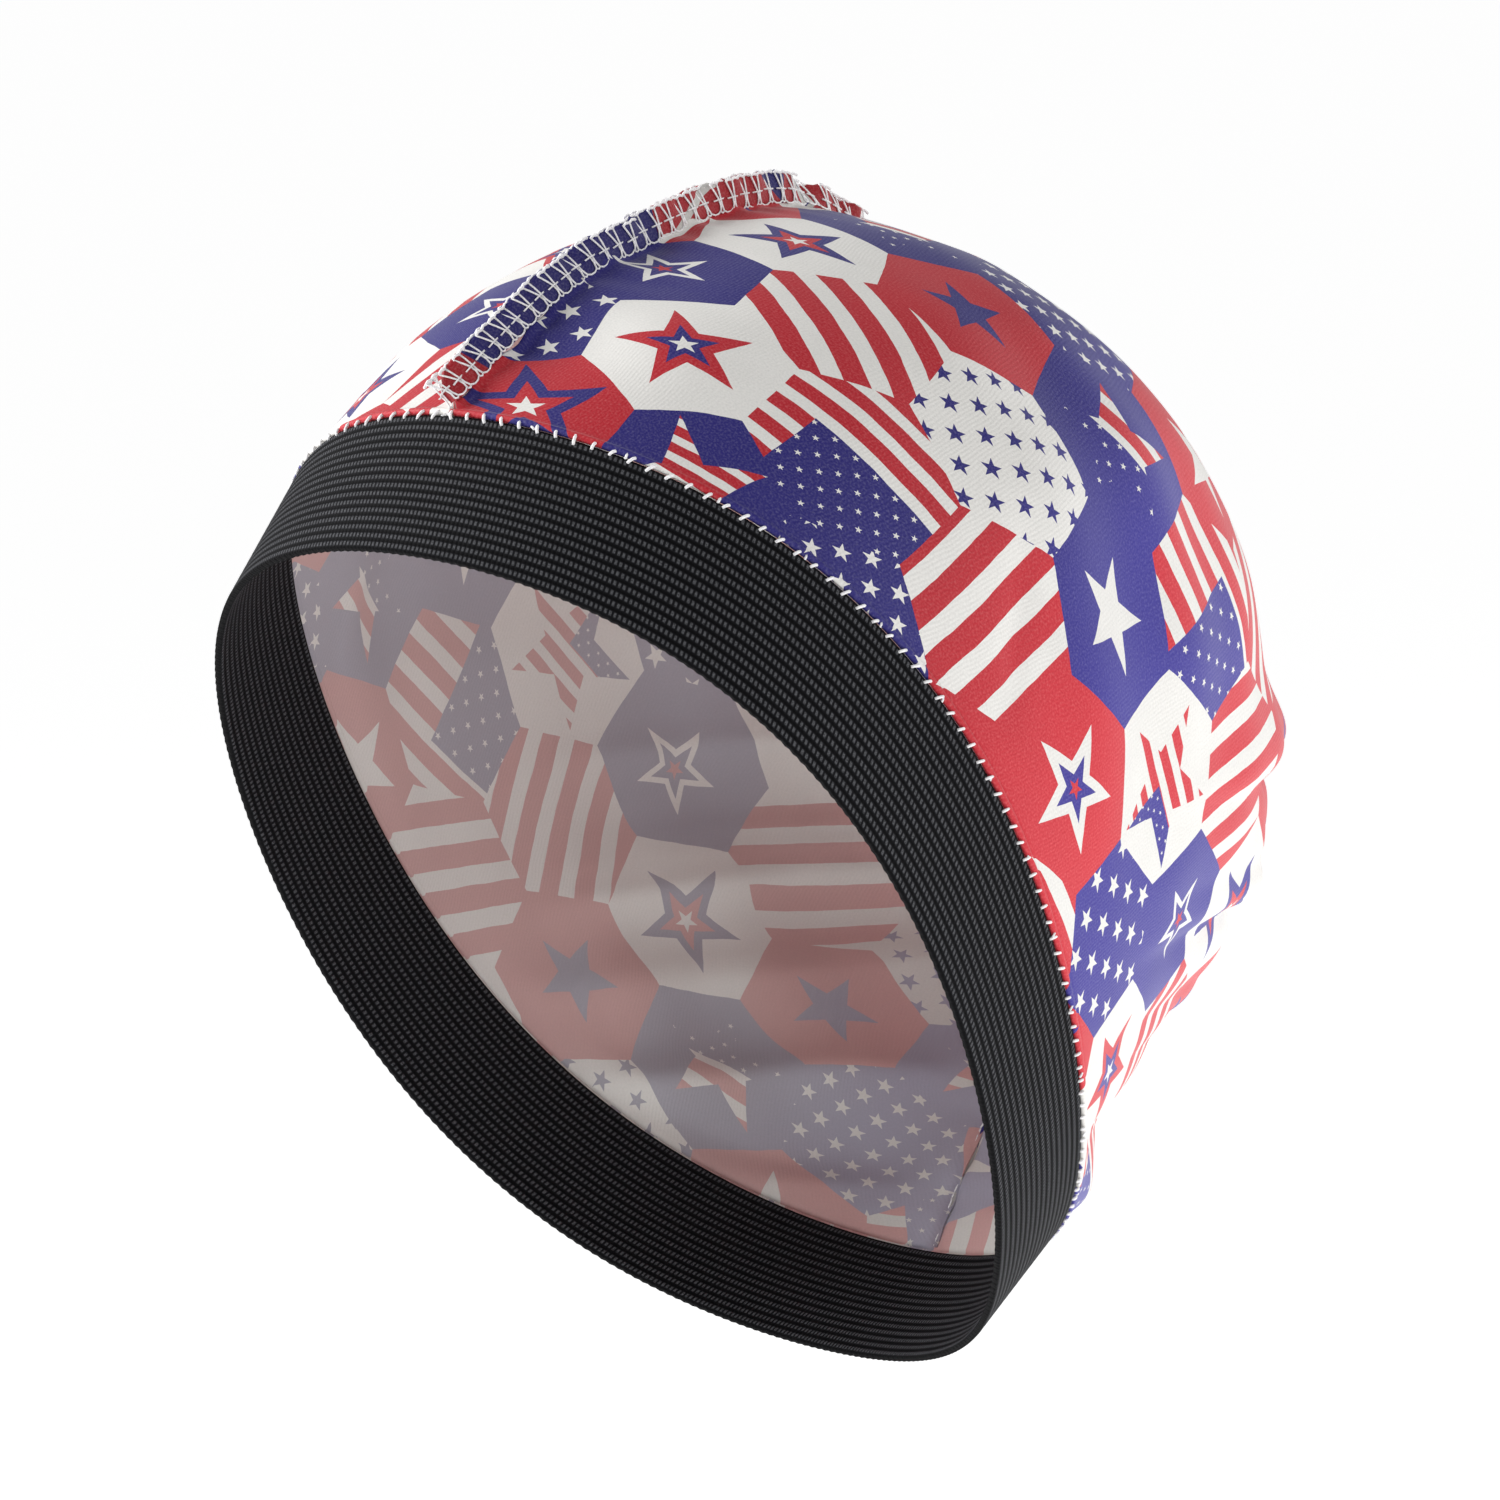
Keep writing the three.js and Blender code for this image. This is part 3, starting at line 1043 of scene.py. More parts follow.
@dataclass(frozen=True)
class FinPrint:
    """The print as it shows on the fin, where its patches are cut down to strips.

    Attributes:
        side: a hexagon's side, in which the places are given.
        height: the height of the fin, from a strip's foot to its edge.
        first: the ink before the first strip.
    """

    side: float = 0.019
    height: float = 0.006
    first: Ink = Ink.RED

    def place(self, along: np.ndarray, share: float) -> np.ndarray:
        """Places in the print, from distances along the fin and a share of its height."""
        up = np.full_like(along, share * self.height)
        return np.stack([along, up], -1) / self.side

    def ink(self, board: Board, place: bpy.types.NodeSocket) -> Value:
        """The number that stands for the ink at a place."""
        along, up, _ = board.split(place)
        far = along * (self.side / MM)
        share = up * (self.side / self.height)
        ink = share * 0.0 + self.first.value
        for strip in FIN_STRIPS:
            past = far > share * (strip.edge - strip.foot) + strip.foot
            ink = board.pick(past, ink, strip.ink.value)
        return ink


# ---------------------------------------------------------------------------
# Finishes
# ---------------------------------------------------------------------------

Colour = tuple[float, float, float, float]


def srgb(red: int, green: int, blue: int) -> Colour:
    """A colour from its three display values, made linear."""

    def linear(level: int) -> float:
        """One display value made linear."""
        share = level / 255.0
        return share / 12.92 if share <= 0.04045 else ((share + 0.055) / 1.055) ** 2.4

    return (linear(red), linear(green), linear(blue), 1.0)


PRINT_MAP = "print"
THREAD_MAP = "thread"


@dataclass(frozen=True)
class PrintedKnit:
    """Fine satiny knit with the patchwork printed on it.

    Attributes:
        name: the finish's name.
        inks: the white, the red and the blue.
        light_inks: the lighter ones that they change to, towards the left and the back.
        light_way: the direction of that change. It is close to the camera's right-hand one, and
            the change stands in for the light there more than for the cloth.
        light_from, light_to: the distances that way over which they change.
        bare_cloth: the colour of the cloth without ink.
        fade: how far the colour has gone towards the bare cloth, from 0 to 1.
        painted_shade: how far the cloth is darkened as painted shade, where 1 is its own colour.
        sheen: the strength of the soft sheen at grazing angles.
        roughness: how rough the face is, about which it varies a little.
        twill_per_side: the number of fine diagonal ribs in a hexagon's side.
        pattern: the print.
    """

    name: str = "printed_knit"
    inks: tuple[Colour, Colour, Colour] = (
        srgb(233, 231, 227),
        srgb(188, 38, 50),
        srgb(44, 39, 118),
    )
    light_inks: tuple[Colour, Colour, Colour] = (
        srgb(233, 231, 227),
        srgb(212, 52, 64),
        srgb(65, 58, 151),
    )
    light_way: tuple[float, float, float] = (0.78, 0.62, -0.35)
    light_from: float = 0.050
    light_to: float = 0.098
    bare_cloth: Colour = srgb(226, 222, 216)
    fade: float = 0.0
    painted_shade: float = 1.0
    sheen: float = 0.2
    roughness: float = 0.52
    twill_per_side: float = 26.0
    pattern: Union[HexPrint, FinPrint] = HexPrint()

    def make(self) -> bpy.types.Material:
        """Makes the material."""
        board = Board(self.name)
        place = board.uv(PRINT_MAP)
        ink = self.pattern.ink(board, place)
        plain, light = (board.node("ShaderNodeValToRGB", {"stops": list(stops)},
                                   {0: ink * 0.8 + 0.1}).outputs[0]
                        for stops in (self.inks, self.light_inks))
        parts = board.split(board.node("ShaderNodeTexCoord").outputs["Object"])
        left, back, up = (part * share for part, share in zip(parts, self.light_way))
        lit = (left + back + up).step(self.light_from, self.light_to)
        colour = board.mix_colour(lit, plain, light)
        cloud = board.noise(place, 1.4)
        fleck = board.noise(place, 44.0, 5.0)
        # The last factor darkens the cloth as painted shade; cloud and fleck mottle it at random.
        shade = (cloud * 0.12 + fleck * 0.36 + 0.76) * self.painted_shade
        grey = board.node("ShaderNodeCombineColor", {}, {0: shade, 1: shade, 2: shade}).outputs[0]
        colour = board.mix_colour(1.0, colour, grey, "MULTIPLY")
        colour = board.mix_colour(fleck.step(0.40, 0.85) * 0.11, colour, self.bare_cloth)
        if self.fade:
            colour = board.mix_colour(self.fade, colour, self.bare_cloth)
        x, y, _ = board.split(place)
        warp = (x * 0.94 + y * 0.34 + cloud * 0.12) * (2.0 * math.pi * self.twill_per_side)
        height = warp.sine() * 0.3 + fleck
        return board.cloth({
            "Base Color": colour,
            "Roughness": fleck * 0.16 + (self.roughness - 0.08),
            "Normal": board.bump(height, 0.35, 0.00012),
            "Specular IOR Level": 0.22,
            "Sheen Weight": self.sheen,
            "Sheen Roughness": 0.35,
        })


@dataclass(frozen=True)
class SewingThread:
    """White sewing thread, faintly twisted, with a slight glow that keeps it white in shade."""

    name: str = "white_thread"
    colour: Colour = srgb(252, 251, 250)
    shadow: Colour = srgb(228, 226, 231)
    glow: float = 0.10

    def make(self) -> bpy.types.Material:
        """Makes the material."""
        board = Board(self.name)
        place = board.node("ShaderNodeTexCoord").outputs["Object"]
        fibre = board.noise(place, 2600.0, 2.0)
        return board.cloth({
            "Base Color": board.mix_colour(fibre.step(0.25, 0.75), self.shadow, self.colour),
            "Roughness": fibre * 0.2 + 0.5,
            "Normal": board.bump(fibre, 0.4, 0.00008),
            "Sheen Weight": 0.3,
            "Emission Color": self.colour,
            "Emission Strength": self.glow,
        })


@dataclass(frozen=True)
class RibbedElastic:
    """Black woven elastic: its ribs carry short dashes of painted glint, and its grooves painted
    shade.
    """

    name: str = "ribbed_elastic"
    thread: Colour = srgb(22, 22, 25)
    # The groove colour is painted shade between the ribs, and the glint colour painted glints on
    # them.
    groove: Colour = srgb(11, 11, 13)
    glint: Colour = srgb(108, 109, 113)

    def make(self) -> bpy.types.Material:
        """Makes the material, which reads dashes along and ribs across from the thread map."""
        board = Board(self.name)
        place = board.uv(THREAD_MAP)
        along, across, _ = board.split(place)
        in_rib = across.fraction()
        shifted = along + across * 0.5 + (board.noise(place, 0.35) - 0.5) * 0.5
        in_dash = shifted.fraction()
        crown = (in_rib * math.pi).sine()
        dash = (in_dash * math.pi).sine()
        fuzz = board.noise(place, 7.0, 3.0)
        # Painted glints: short bright dashes where light catches the ribs' crowns.
        lit = crown.step(0.55, 0.95) * dash.step(0.45, 0.90) * fuzz.step(0.30, 0.60)
        # Painted shade: the grooves between the ribs are darker than the thread.
        colour = board.mix_colour(crown.step(0.15, 0.75), self.groove, self.thread)
        colour = board.mix_colour(lit * 0.75, colour, self.glint)
        height = crown * 0.5 + dash * 0.5 + fuzz * 0.6
        return board.cloth({
            "Base Color": colour,
            "Roughness": fuzz * 0.2 + 0.60,
            "Normal": board.bump(height, 0.6, 0.00025),
            "Specular IOR Level": 0.06,
        })


@dataclass(frozen=True)
class PlainPaint:
    """A plain matt finish for the studio's floor."""

    name: str
    colour: Colour
    glow: float = 0.0

    def make(self) -> bpy.types.Material:
        """Makes the material."""
        return Board(self.name).cloth({
            "Base Color": self.colour,
            "Roughness": 0.9,
            "Specular IOR Level": 0.0,
            "Emission Color": self.colour,
            "Emission Strength": self.glow,
        })


# ---------------------------------------------------------------------------
# The crown's panels
# ---------------------------------------------------------------------------


class Drag(NamedTuple):
    """A soft valley pulled into the cloth: its two ends, its half-width and its depth."""

    start: tuple[float, float]
    end: tuple[float, float]
    half_width: float
    depth: float

    def nearness(self, form: CapForm, points: np.ndarray) -> np.ndarray:
        """How near points are to the valley.

        Args:
            form: the cap's form.
            points: the points, upright.

        Returns:
            A number for each, from 0 far away to 1 at the valley's middle.
        """
        ends = form.smooth(*np.transpose([self.start, self.end]))
        line = ends[1] - ends[0]
        share = np.clip((points - ends[0]) @ line / (line @ line), 0.0, 1.0)
        away = np.linalg.norm(points - ends[0] - share[..., None] * line, axis=-1)
        return np.sin(math.pi * share) * np.exp(-((away / self.half_width) ** 2))


@dataclass
class CrownPanel:
    """One half of the crown: a sheet of knit, rolled at the band and turned up at the seam.

    Attributes:
        form: the cap's form.
        chart: how the print lies on it.
        side: which half it is.
        cloth: the thickness of the knit.
        roll: the radius of the turned edge above the band.
        roll_sink: how far the roll's middle is behind the band's face.
        seam_lift: how far the edge turns up at the seam.
        seam_reach: how far from the seam the edge starts to turn.
        pucker, pucker_reach: the depth of the puckers at the seam, and how far they reach.
        crumple: the depth of the soft unevenness all over.
        drags: the soft valleys pulled into the cloth.
        rise_per_metre: the rise, in degrees, for a metre up the panel.
        flat: the width and length of the cloth the half is cut from.
        flat_area: the area of the cut.
    """

    form: CapForm
    chart: PrintChart
    side: Side
    cloth: float = 0.0006
    roll: float = 0.00075
    roll_sink: float = 0.0005
    seam_lift: float = 0.0013
    seam_reach: float = 0.0011
    pucker: float = 0.00045
    pucker_reach: float = 0.007
    crumple: float = 0.0008
    drags: tuple[Drag, ...] = (Drag((58.0, 17.0), (73.0, 3.0), 0.0032, 0.0009),)
    rise_per_metre: float = 385.0
    flat: tuple[float, float] = (0.185, 0.300)
    flat_area: float = 0.040

    def columns(self) -> np.ndarray:
        """Angles round the cap, close together at both ends of the seam."""
        near = np.array([0.0, 0.12, 0.26, 0.42, 0.62, 0.88, 1.2, 1.6, 2.1])
        middle = np.linspace(2.8, 177.2, 188)
        return np.concatenate([near, middle, 180.0 - near[::-1]])

    def crown_start(self) -> float:
        """The rise at which the panel leaves its turned edge."""
        return (self.form.gap + 2.2 * self.roll) * self.rise_per_metre

    def roll_rows(self, round_: np.ndarray) -> tuple[np.ndarray, np.ndarray]:
        """The turned edge above the band.

        Args:
            round_: angles round the cap.

        Returns:
            Its points in rows, and the rise that each row's print is read at.
        """
        angles = np.radians(np.linspace(-115.0, 62.0, 11))[:, None]
        middle_height = self.form.band_width + self.form.gap + self.roll
        height = middle_height + self.roll * np.sin(angles)
        depth = self.roll_sink - self.roll * np.cos(angles)
        rounds = np.broadcast_to(round_, (len(angles), len(round_)))
        ones = np.ones_like(rounds)
        points = self.form.band_point(rounds, height * ones, depth * ones)
        share = (angles[:, 0] - angles[0, 0]) / (angles[-1, 0] - angles[0, 0])
        return points, share * 0.9 * self.crown_start()

    def crown_rows(self, round_: np.ndarray, rises: np.ndarray) -> np.ndarray:
        """The panel above its turned edge, with folds, puckers and a soft unevenness.

        Args:
            round_: the columns' angles round the cap.
            rises: the rows' rises up it.

        Returns:
            Its points in rows, upright and as the left half has them.
        """
        rounds, rise = np.meshgrid(round_, rises)
        base = self.form.smooth(rounds, rise)
        out = self.form.outward(rounds, rise)
        push = self.form.fold_push(self.side, rounds, rise)
        away = np.abs(base[..., 0])
        seed = 3 if self.side is Side.LEFT else 8
        along = rise / self.rise_per_metre
        front = rounds < 90.0
        ripple = np.where(front, waves(along, (0.0083, 0.0131, 0.0214), seed),
                          waves(along, (0.0094, 0.0147, 0.0190), seed + 1))
        push += self.pucker * ripple * np.exp(-away / self.pucker_reach)
        length = np.radians(rounds) * 0.09
        drift = waves(length + 0.6 * along, (0.061, 0.043), seed + 2)
        drift = drift * waves(along - 0.3 * length, (0.083, 0.052), seed + 3)
        push += self.crumple * drift * smoothstep(rise, 0.5, 10.0)
        for drag in self.drags:
            push -= drag.depth * drag.nearness(self.form, base)
        push += self.seam_lift * np.exp(-((away / self.seam_reach) ** 2))
        return base + out * push[..., None]

    def build(self) -> bpy.types.Object:
        """Builds the sheet and gives it its wall."""
        round_ = self.columns()
        edge, edge_rises = self.roll_rows(round_)
        near = self.crown_start() + np.array([0.0, 0.2, 0.45, 0.8, 1.2])
        rises = np.concatenate([near, np.linspace(near[-1] + 0.45, 89.3, 204)])
        crown = self.crown_rows(round_, rises)
        pole_place = np.array([[90.0]]), np.array([[89.99]])
        pole = self.crown_rows(*(angle[0] for angle in pole_place))
        points = np.concatenate([edge, crown])
        read_rises = np.concatenate([edge_rises, rises])
        rounds, read = np.meshgrid(round_, read_rises)
        maps = self.chart.place(self.side, self.form.smooth(rounds, np.maximum(read, 0.0)))
        pole_map = self.chart.place(self.side, self.form.smooth(*pole_place))

        shift = np.array([self.form.gap / 2.0, 0.0, 0.0])
        mirror = np.array([float(self.side.value), 1.0, 1.0])
        skin = Skin(f"crown_{self.side.name.lower()}_knit")
        numbers = skin.add_points((points + shift) * mirror)
        top = skin.add_points((pole[:, :1] + shift) * mirror)
        numbers = np.vstack([numbers, np.full((1, numbers.shape[1]), top[0, 0])])
        maps = np.vstack([maps, np.broadcast_to(pole_map, (1, *maps.shape[1:]))])
        skin.add_quads(numbers, {PRINT_MAP: maps}, flip=self.side is Side.RIGHT)
        piece = skin.finish(self.form)
        wall = piece.modifiers.new("cloth", "SOLIDIFY")
        wall.thickness = self.cloth
        wall.offset = -1.0
        wall.material_offset = 1
        wall.material_offset_rim = 1
        return piece

    def dress(self, piece: bpy.types.Object, face: bpy.types.Material,
              back: bpy.types.Material, sewn_on: Sequence[bpy.types.Object]) -> None:
        """Gives the sheet its finishes and puts it in place of the imported panel.

        Args:
            piece: the sheet.
            face: the finish of its outer side.
            back: the finish of its inner side and its cut edges.
            sewn_on: the pieces that are sewn on it; not used.
        """
        piece.data.materials.append(face)
        piece.data.materials.append(back)
        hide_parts(f"crown_{self.side.name.lower()}")
        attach(piece, BODY)
        list(sewn_on)


# ---------------------------------------------------------------------------
# The serged seam
# ---------------------------------------------------------------------------


@dataclass
class SeamFin:
    """The seam's allowance: two plies that stand up along the midline and wave at their edge.

    Attributes:
        form: the cap's form.
        pattern: the print that shows on it.
        height: how far it stands up.
        foot_width, edge_width: its thickness at the foot and at the free edge.
        wave: how far its free edge waves.
        leans: its lean to the wearer's right in degrees, at distances along it in metres.
        sway: how much the lean wavers, in degrees.
        stations: the number of rings along it.
        start_length: the length at each end over which it rises to its full height.
    """

    form: CapForm
    pattern: FinPrint
    height: float = 0.0060
    foot_width: float = 0.0021
    edge_width: float = 0.0011
    wave: float = 0.00055
    leans: tuple[tuple[float, float], ...] = (
        (0.000, 55.0), (0.006, 36.0), (0.020, 30.0), (0.042, 28.0), (0.055, 8.0),
        (0.092, 4.0), (0.104, 20.0), (0.110, 44.0), (0.114, 14.0), (0.120, 36.0),
        (0.125, 8.0), (0.134, 60.0), (0.170, 66.0),
    )
    sway: float = 5.0
    stations: int = 460
    start_length: float = 0.004

    def spine(self) -> dict[str, np.ndarray]:
        """The fin's line of frames, evenly spaced from the forehead to the nape.

        Returns:
            The foot's points, the directions up the fin, across it to the wearer's left and
            along it, the distance along it, and the round and rise of each frame.
        """
        fine = np.linspace(0.8, 179.2, 2000)
        round_ = np.where(fine <= 90.0, 0.0, 180.0)
        rise = np.where(fine <= 90.0, fine, 180.0 - fine)
        seam = self.form.smooth(round_, rise)
        distance = np.concatenate([[0.0], np.cumsum(np.linalg.norm(np.diff(seam, axis=0), axis=1))])
        even = np.linspace(0.0, distance[-1], self.stations)
        along = np.interp(even, distance, fine)
        round_ = np.where(along <= 90.0, 0.0, 180.0)
        rise = np.where(along <= 90.0, along, 180.0 - along)
        seam = self.form.smooth(round_, rise)
        out = self.form.outward(round_, rise)
        out[:, 0] = 0.0
        out = unit(out)
        left = np.broadcast_to(np.array([1.0, 0.0, 0.0]), out.shape)
        sway = self.sway * waves(even, (0.031, 0.017, 0.047), 21)
        lean = np.radians(np.interp(even, *np.transpose(self.leans)) + sway)[:, None]
        up = out * np.cos(lean) - left * np.sin(lean)
        across = left * np.cos(lean) + out * np.sin(lean)
        clearance = self.form.gap + 0.5 * self.form.fin_foot * np.abs(np.sin(lean))
        foot = seam + out * clearance
        forward = unit(np.gradient(foot, axis=0))
        return {"foot": foot, "up": up, "across": across, "forward": forward,
                "distance": even, "round": round_, "rise": rise}

    def profile(self, spine: dict[str, np.ndarray], share: float, side: float) -> np.ndarray:
        """A line along the fin's face.

        Args:
            spine: the fin's frames.
            share: the height up the fin, from 0 to 1.
            side: 1 on the left face, -1 on the right, and between them across the edge.

        Returns:
            A point for each frame.
        """
        even = spine["distance"]
        start = 0.55 + 0.45 * smoothstep(even, 0.0, self.start_length)
        end = 0.4 + 0.6 * smoothstep(even[-1] - even, 0.0, self.start_length)
        tall = self.height * start * end * (1.0 + 0.04 * waves(even, (0.0033, 0.0052, 0.0017), 31))
        width = self.foot_width + (self.edge_width - self.foot_width) * share
        swing = self.wave * waves(even, (0.0062, 0.0097, 0.0171), 32) * share**1.6
        sideways = side * 0.5 * width + swing
        return (spine["foot"] + spine["up"] * (tall * share)[:, None]
                + spine["across"] * sideways[:, None])

    def build(self) -> bpy.types.Object:
        """Builds the two plies as one closed strip."""
        spine = self.spine()
        shares = (0.0, 0.12, 0.28, 0.46, 0.64, 0.82, 0.95)
        left = [(share, 1.0) for share in shares]
        edge = [(1.0, 0.6), (1.02, 0.0), (1.0, -0.6)]
        right = [(share, -1.0) for share in reversed(shares)]
        ring = left + edge + right
        lines = [self.profile(spine, share, side) for share, side in ring]
        skin = Skin("seam_fin_cloth")
        numbers = skin.add_points(np.stack(lines, 0))
        closed = np.vstack([numbers, numbers[:1]])
        places = [self.pattern.place(spine["distance"], share) for share, _ in ring + ring[:1]]
        skin.add_quads(closed, {PRINT_MAP: np.stack(places, 0)}, flip=True)
        for station, flip in ((0, False), (-1, True)):
            loop = numbers[:, station].tolist()
            skin.faces.append(tuple(reversed(loop)) if flip else tuple(loop))
            skin.corners[PRINT_MAP].append(np.zeros((len(loop), 2)))
        return skin.finish(self.form)

    def dress(self, piece: bpy.types.Object, finish: bpy.types.Material) -> None:
        """Gives the fin its finish and puts it in place of the imported fin.

        Args:
            piece: the fin.
            finish: its cloth's finish.
        """
        piece.data.materials.append(finish)
        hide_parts("seam_fin")
        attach(piece, BODY)


# ---------------------------------------------------------------------------
# Stitches
# ---------------------------------------------------------------------------


@dataclass(frozen=True)
class ThreadFigure:
    """A stitch drawn as short thin threads: x along the row, y up it, z out of the cloth.

    Attributes:
        name: the figure's name.
        strokes: each thread's points, in metres.
        radius: the thread's radius.
        corners: the number of sides of a thread.
    """

    name: str
    strokes: tuple[tuple[tuple[float, float, float], ...], ...]
    radius: float
    corners: int = 3

    def build(self) -> bpy.types.Object:
        """Builds the figure as one small mesh that stays out of the scene."""
        vertices: list[Vector] = []
        faces: list[tuple[int, ...]] = []
        for stroke in self.strokes:
            points = [Vector(point) for point in stroke]
            start = len(vertices)
            for index, point in enumerate(points):
                before = points[max(index - 1, 0)]
                after = points[min(index + 1, len(points) - 1)]
                ahead = (after - before).normalized()
                sideways = ahead.cross(Vector((0.0, 0.0, 1.0))).normalized()
                outwards = sideways.cross(ahead)
                for corner in range(self.corners):
                    angle = 2.0 * math.pi * corner / self.corners
                    offset = sideways * math.cos(angle) + outwards * math.sin(angle)
                    vertices.append(point + offset * self.radius)
            for index in range(len(points) - 1):
                low = start + index * self.corners
                for corner in range(self.corners):
                    near = (low + corner, low + (corner + 1) % self.corners)
                    faces.append((*near, near[1] + self.corners, near[0] + self.corners))
            last = len(vertices) - self.corners
            faces.append(tuple(reversed(range(start, start + self.corners))))
            faces.append(tuple(range(last, last + self.corners)))
        mesh = bpy.data.meshes.new(self.name)
        mesh.from_pydata(vertices, [], faces)
        return bpy.data.objects.new(self.name, mesh)


class StitchTree:
    """A Geometry Nodes tree that sews a figure along a guide line."""

    def __init__(self) -> None:
        """Builds the tree with its named inputs."""
        self.group = bpy.data.node_groups.new("stitch_row", "GeometryNodeTree")
        interface = self.group.interface
        sockets = (
            ("Guide", "NodeSocketGeometry", None),
            ("Figure", "NodeSocketObject", None),
            ("Pitch", "NodeSocketFloat", 0.0037),
            ("Swing", "NodeSocketFloat", 0.2),
            ("Size Spread", "NodeSocketFloat", 0.1),
            ("Seed", "NodeSocketInt", 1),
            ("Finish", "NodeSocketMaterial", None),
        )
        self.names = {}
        for name, kind, default in sockets:
            socket = interface.new_socket(name=name, in_out="INPUT", socket_type=kind)
            if default is not None:
                socket.default_value = default
            self.names[name] = socket.identifier
        interface.new_socket(name="Stitches", in_out="OUTPUT", socket_type="NodeSocketGeometry")
        self._wire()

    def _add(self, kind: str, settings: Optional[dict] = None,
             inputs: Optional[dict] = None) -> bpy.types.Node:
        """Adds a node with settings first and then its inputs, as values or sockets."""
        made = self.group.nodes.new(kind)
        for name, value in (settings or {}).items():
            setattr(made, name, value)
        for name, value in (inputs or {}).items():
            if isinstance(value, bpy.types.NodeSocket):
                self.group.links.new(value, made.inputs[name])
            else:
                made.inputs[name].default_value = value
        return made

    def _wire(self) -> None:
        """Connects the tree."""
        entry = self._add("NodeGroupInput").outputs
        curve = self._add("GeometryNodeMeshToCurve", {}, {"Mesh": entry["Guide"]})
        even = self._add("GeometryNodeResampleCurve", {"mode": "LENGTH"},
                         {"Curve": curve.outputs[0], "Length": entry["Pitch"]})
        figure = self._add("GeometryNodeObjectInfo", {"transform_space": "ORIGINAL"},
                           {"Object": entry["Figure"]})
        axes = {}
        for name in ("out", "up"):
            read = self._add("GeometryNodeInputNamedAttribute", {"data_type": "FLOAT_VECTOR"},
                             {"Name": name})
            axes[name] = read.outputs["Attribute"]
        face = self._add("FunctionNodeAxesToRotation",
                         {"primary_axis": "Z", "secondary_axis": "Y"},
                         {"Primary Axis": axes["out"], "Secondary Axis": axes["up"]})
        less = self._add("ShaderNodeMath", {"operation": "MULTIPLY"}, {0: entry["Swing"], 1: -1.0})
        swing = self._add("FunctionNodeRandomValue", {"data_type": "FLOAT"},
                          {"Seed": entry["Seed"]})
        self.group.links.new(less.outputs[0], swing.inputs[2])
        self.group.links.new(entry["Swing"], swing.inputs[3])
        tilt = self._add("FunctionNodeAxisAngleToRotation", {},
                         {"Axis": (0.0, 0.0, 1.0), "Angle": swing.outputs[1]})
        turned = self._add("FunctionNodeRotateRotation", {"rotation_space": "LOCAL"},
                           {"Rotation": face.outputs[0], "Rotate By": tilt.outputs[0]})
        small = self._add("ShaderNodeMath", {"operation": "SUBTRACT"},
                          {0: 1.0, 1: entry["Size Spread"]})
        large = self._add("ShaderNodeMath", {"operation": "ADD"},
                          {0: 1.0, 1: entry["Size Spread"]})
        size = self._add("FunctionNodeRandomValue", {"data_type": "FLOAT"})
        next_seed = self._add("ShaderNodeMath", {"operation": "ADD"}, {0: entry["Seed"], 1: 1.0})
        self.group.links.new(small.outputs[0], size.inputs[2])
        self.group.links.new(large.outputs[0], size.inputs[3])
        self.group.links.new(next_seed.outputs[0], size.inputs["Seed"])
        stretch = self._add("ShaderNodeCombineXYZ", {}, {0: 1.0, 1: size.outputs[1], 2: 1.0})
        sewn = self._add("GeometryNodeInstanceOnPoints", {}, {
            "Points": even.outputs[0],
            "Instance": figure.outputs["Geometry"],
            "Rotation": turned.outputs[0],
            "Scale": stretch.outputs[0],
        })
        real = self._add("GeometryNodeRealizeInstances", {}, {0: sewn.outputs[0]})
        painted = self._add("GeometryNodeSetMaterial", {},
                            {"Geometry": real.outputs[0], "Material": entry["Finish"]})
        self._add("NodeGroupOutput", {}, {0: painted.outputs[0]})


@dataclass
class StitchRow:
    """A row of one stitch figure along a guide line.

    Attributes:
        tree: the tree that sews the row.
        figure: the stitch.
        pitch: the distance from stitch to stitch.
        swing: the most that a stitch turns off square, in radians.
        spread: how much the stitches' lengths differ.
        seed: the seed of their differences.
    """

    tree: StitchTree
    figure: ThreadFigure
    pitch: float
    swing: float
    spread: float
    seed: int

    def sew(self, points: np.ndarray, up: np.ndarray, out: np.ndarray, closed: bool,
            finish: bpy.types.Material) -> bpy.types.Mesh:
        """Sews the row.

        Args:
            points: the guide line, where the cap is worn.
            up: the direction up the row at each point.
            out: the direction out of the cloth at each point.
            closed: whether the line is a loop.
            finish: the thread's finish.

        Returns:
            The stitches as one plain mesh.
        """
        count = len(points)
        edges = [(index, index + 1) for index in range(count - 1)]
        if closed:
            edges.append((count - 1, 0))
        mesh = bpy.data.meshes.new("stitch_guide")
        mesh.from_pydata(points.tolist(), edges, [])
        for name, vectors in (("up", up), ("out", out)):
            attribute = mesh.attributes.new(name, "FLOAT_VECTOR", "POINT")
            attribute.data.foreach_set("vector", vectors.astype(np.float32).ravel())
        guide = put_in_scene("stitch_guide", mesh)
        figure = self.figure.build()
        rig = guide.modifiers.new("sew", "NODES")
        rig.node_group = self.tree.group
        settings = {"Figure": figure, "Pitch": self.pitch, "Swing": self.swing,
                    "Size Spread": self.spread, "Seed": self.seed, "Finish": finish}
        for name, value in settings.items():
            rig[self.tree.names[name]] = value
        graph = bpy.context.evaluated_depsgraph_get()
        graph.update()
        result = bpy.data.meshes.new_from_object(guide.evaluated_get(graph))
        guide.modifiers.remove(rig)
        bpy.data.objects.remove(guide)
        bpy.data.objects.remove(figure)
        return result


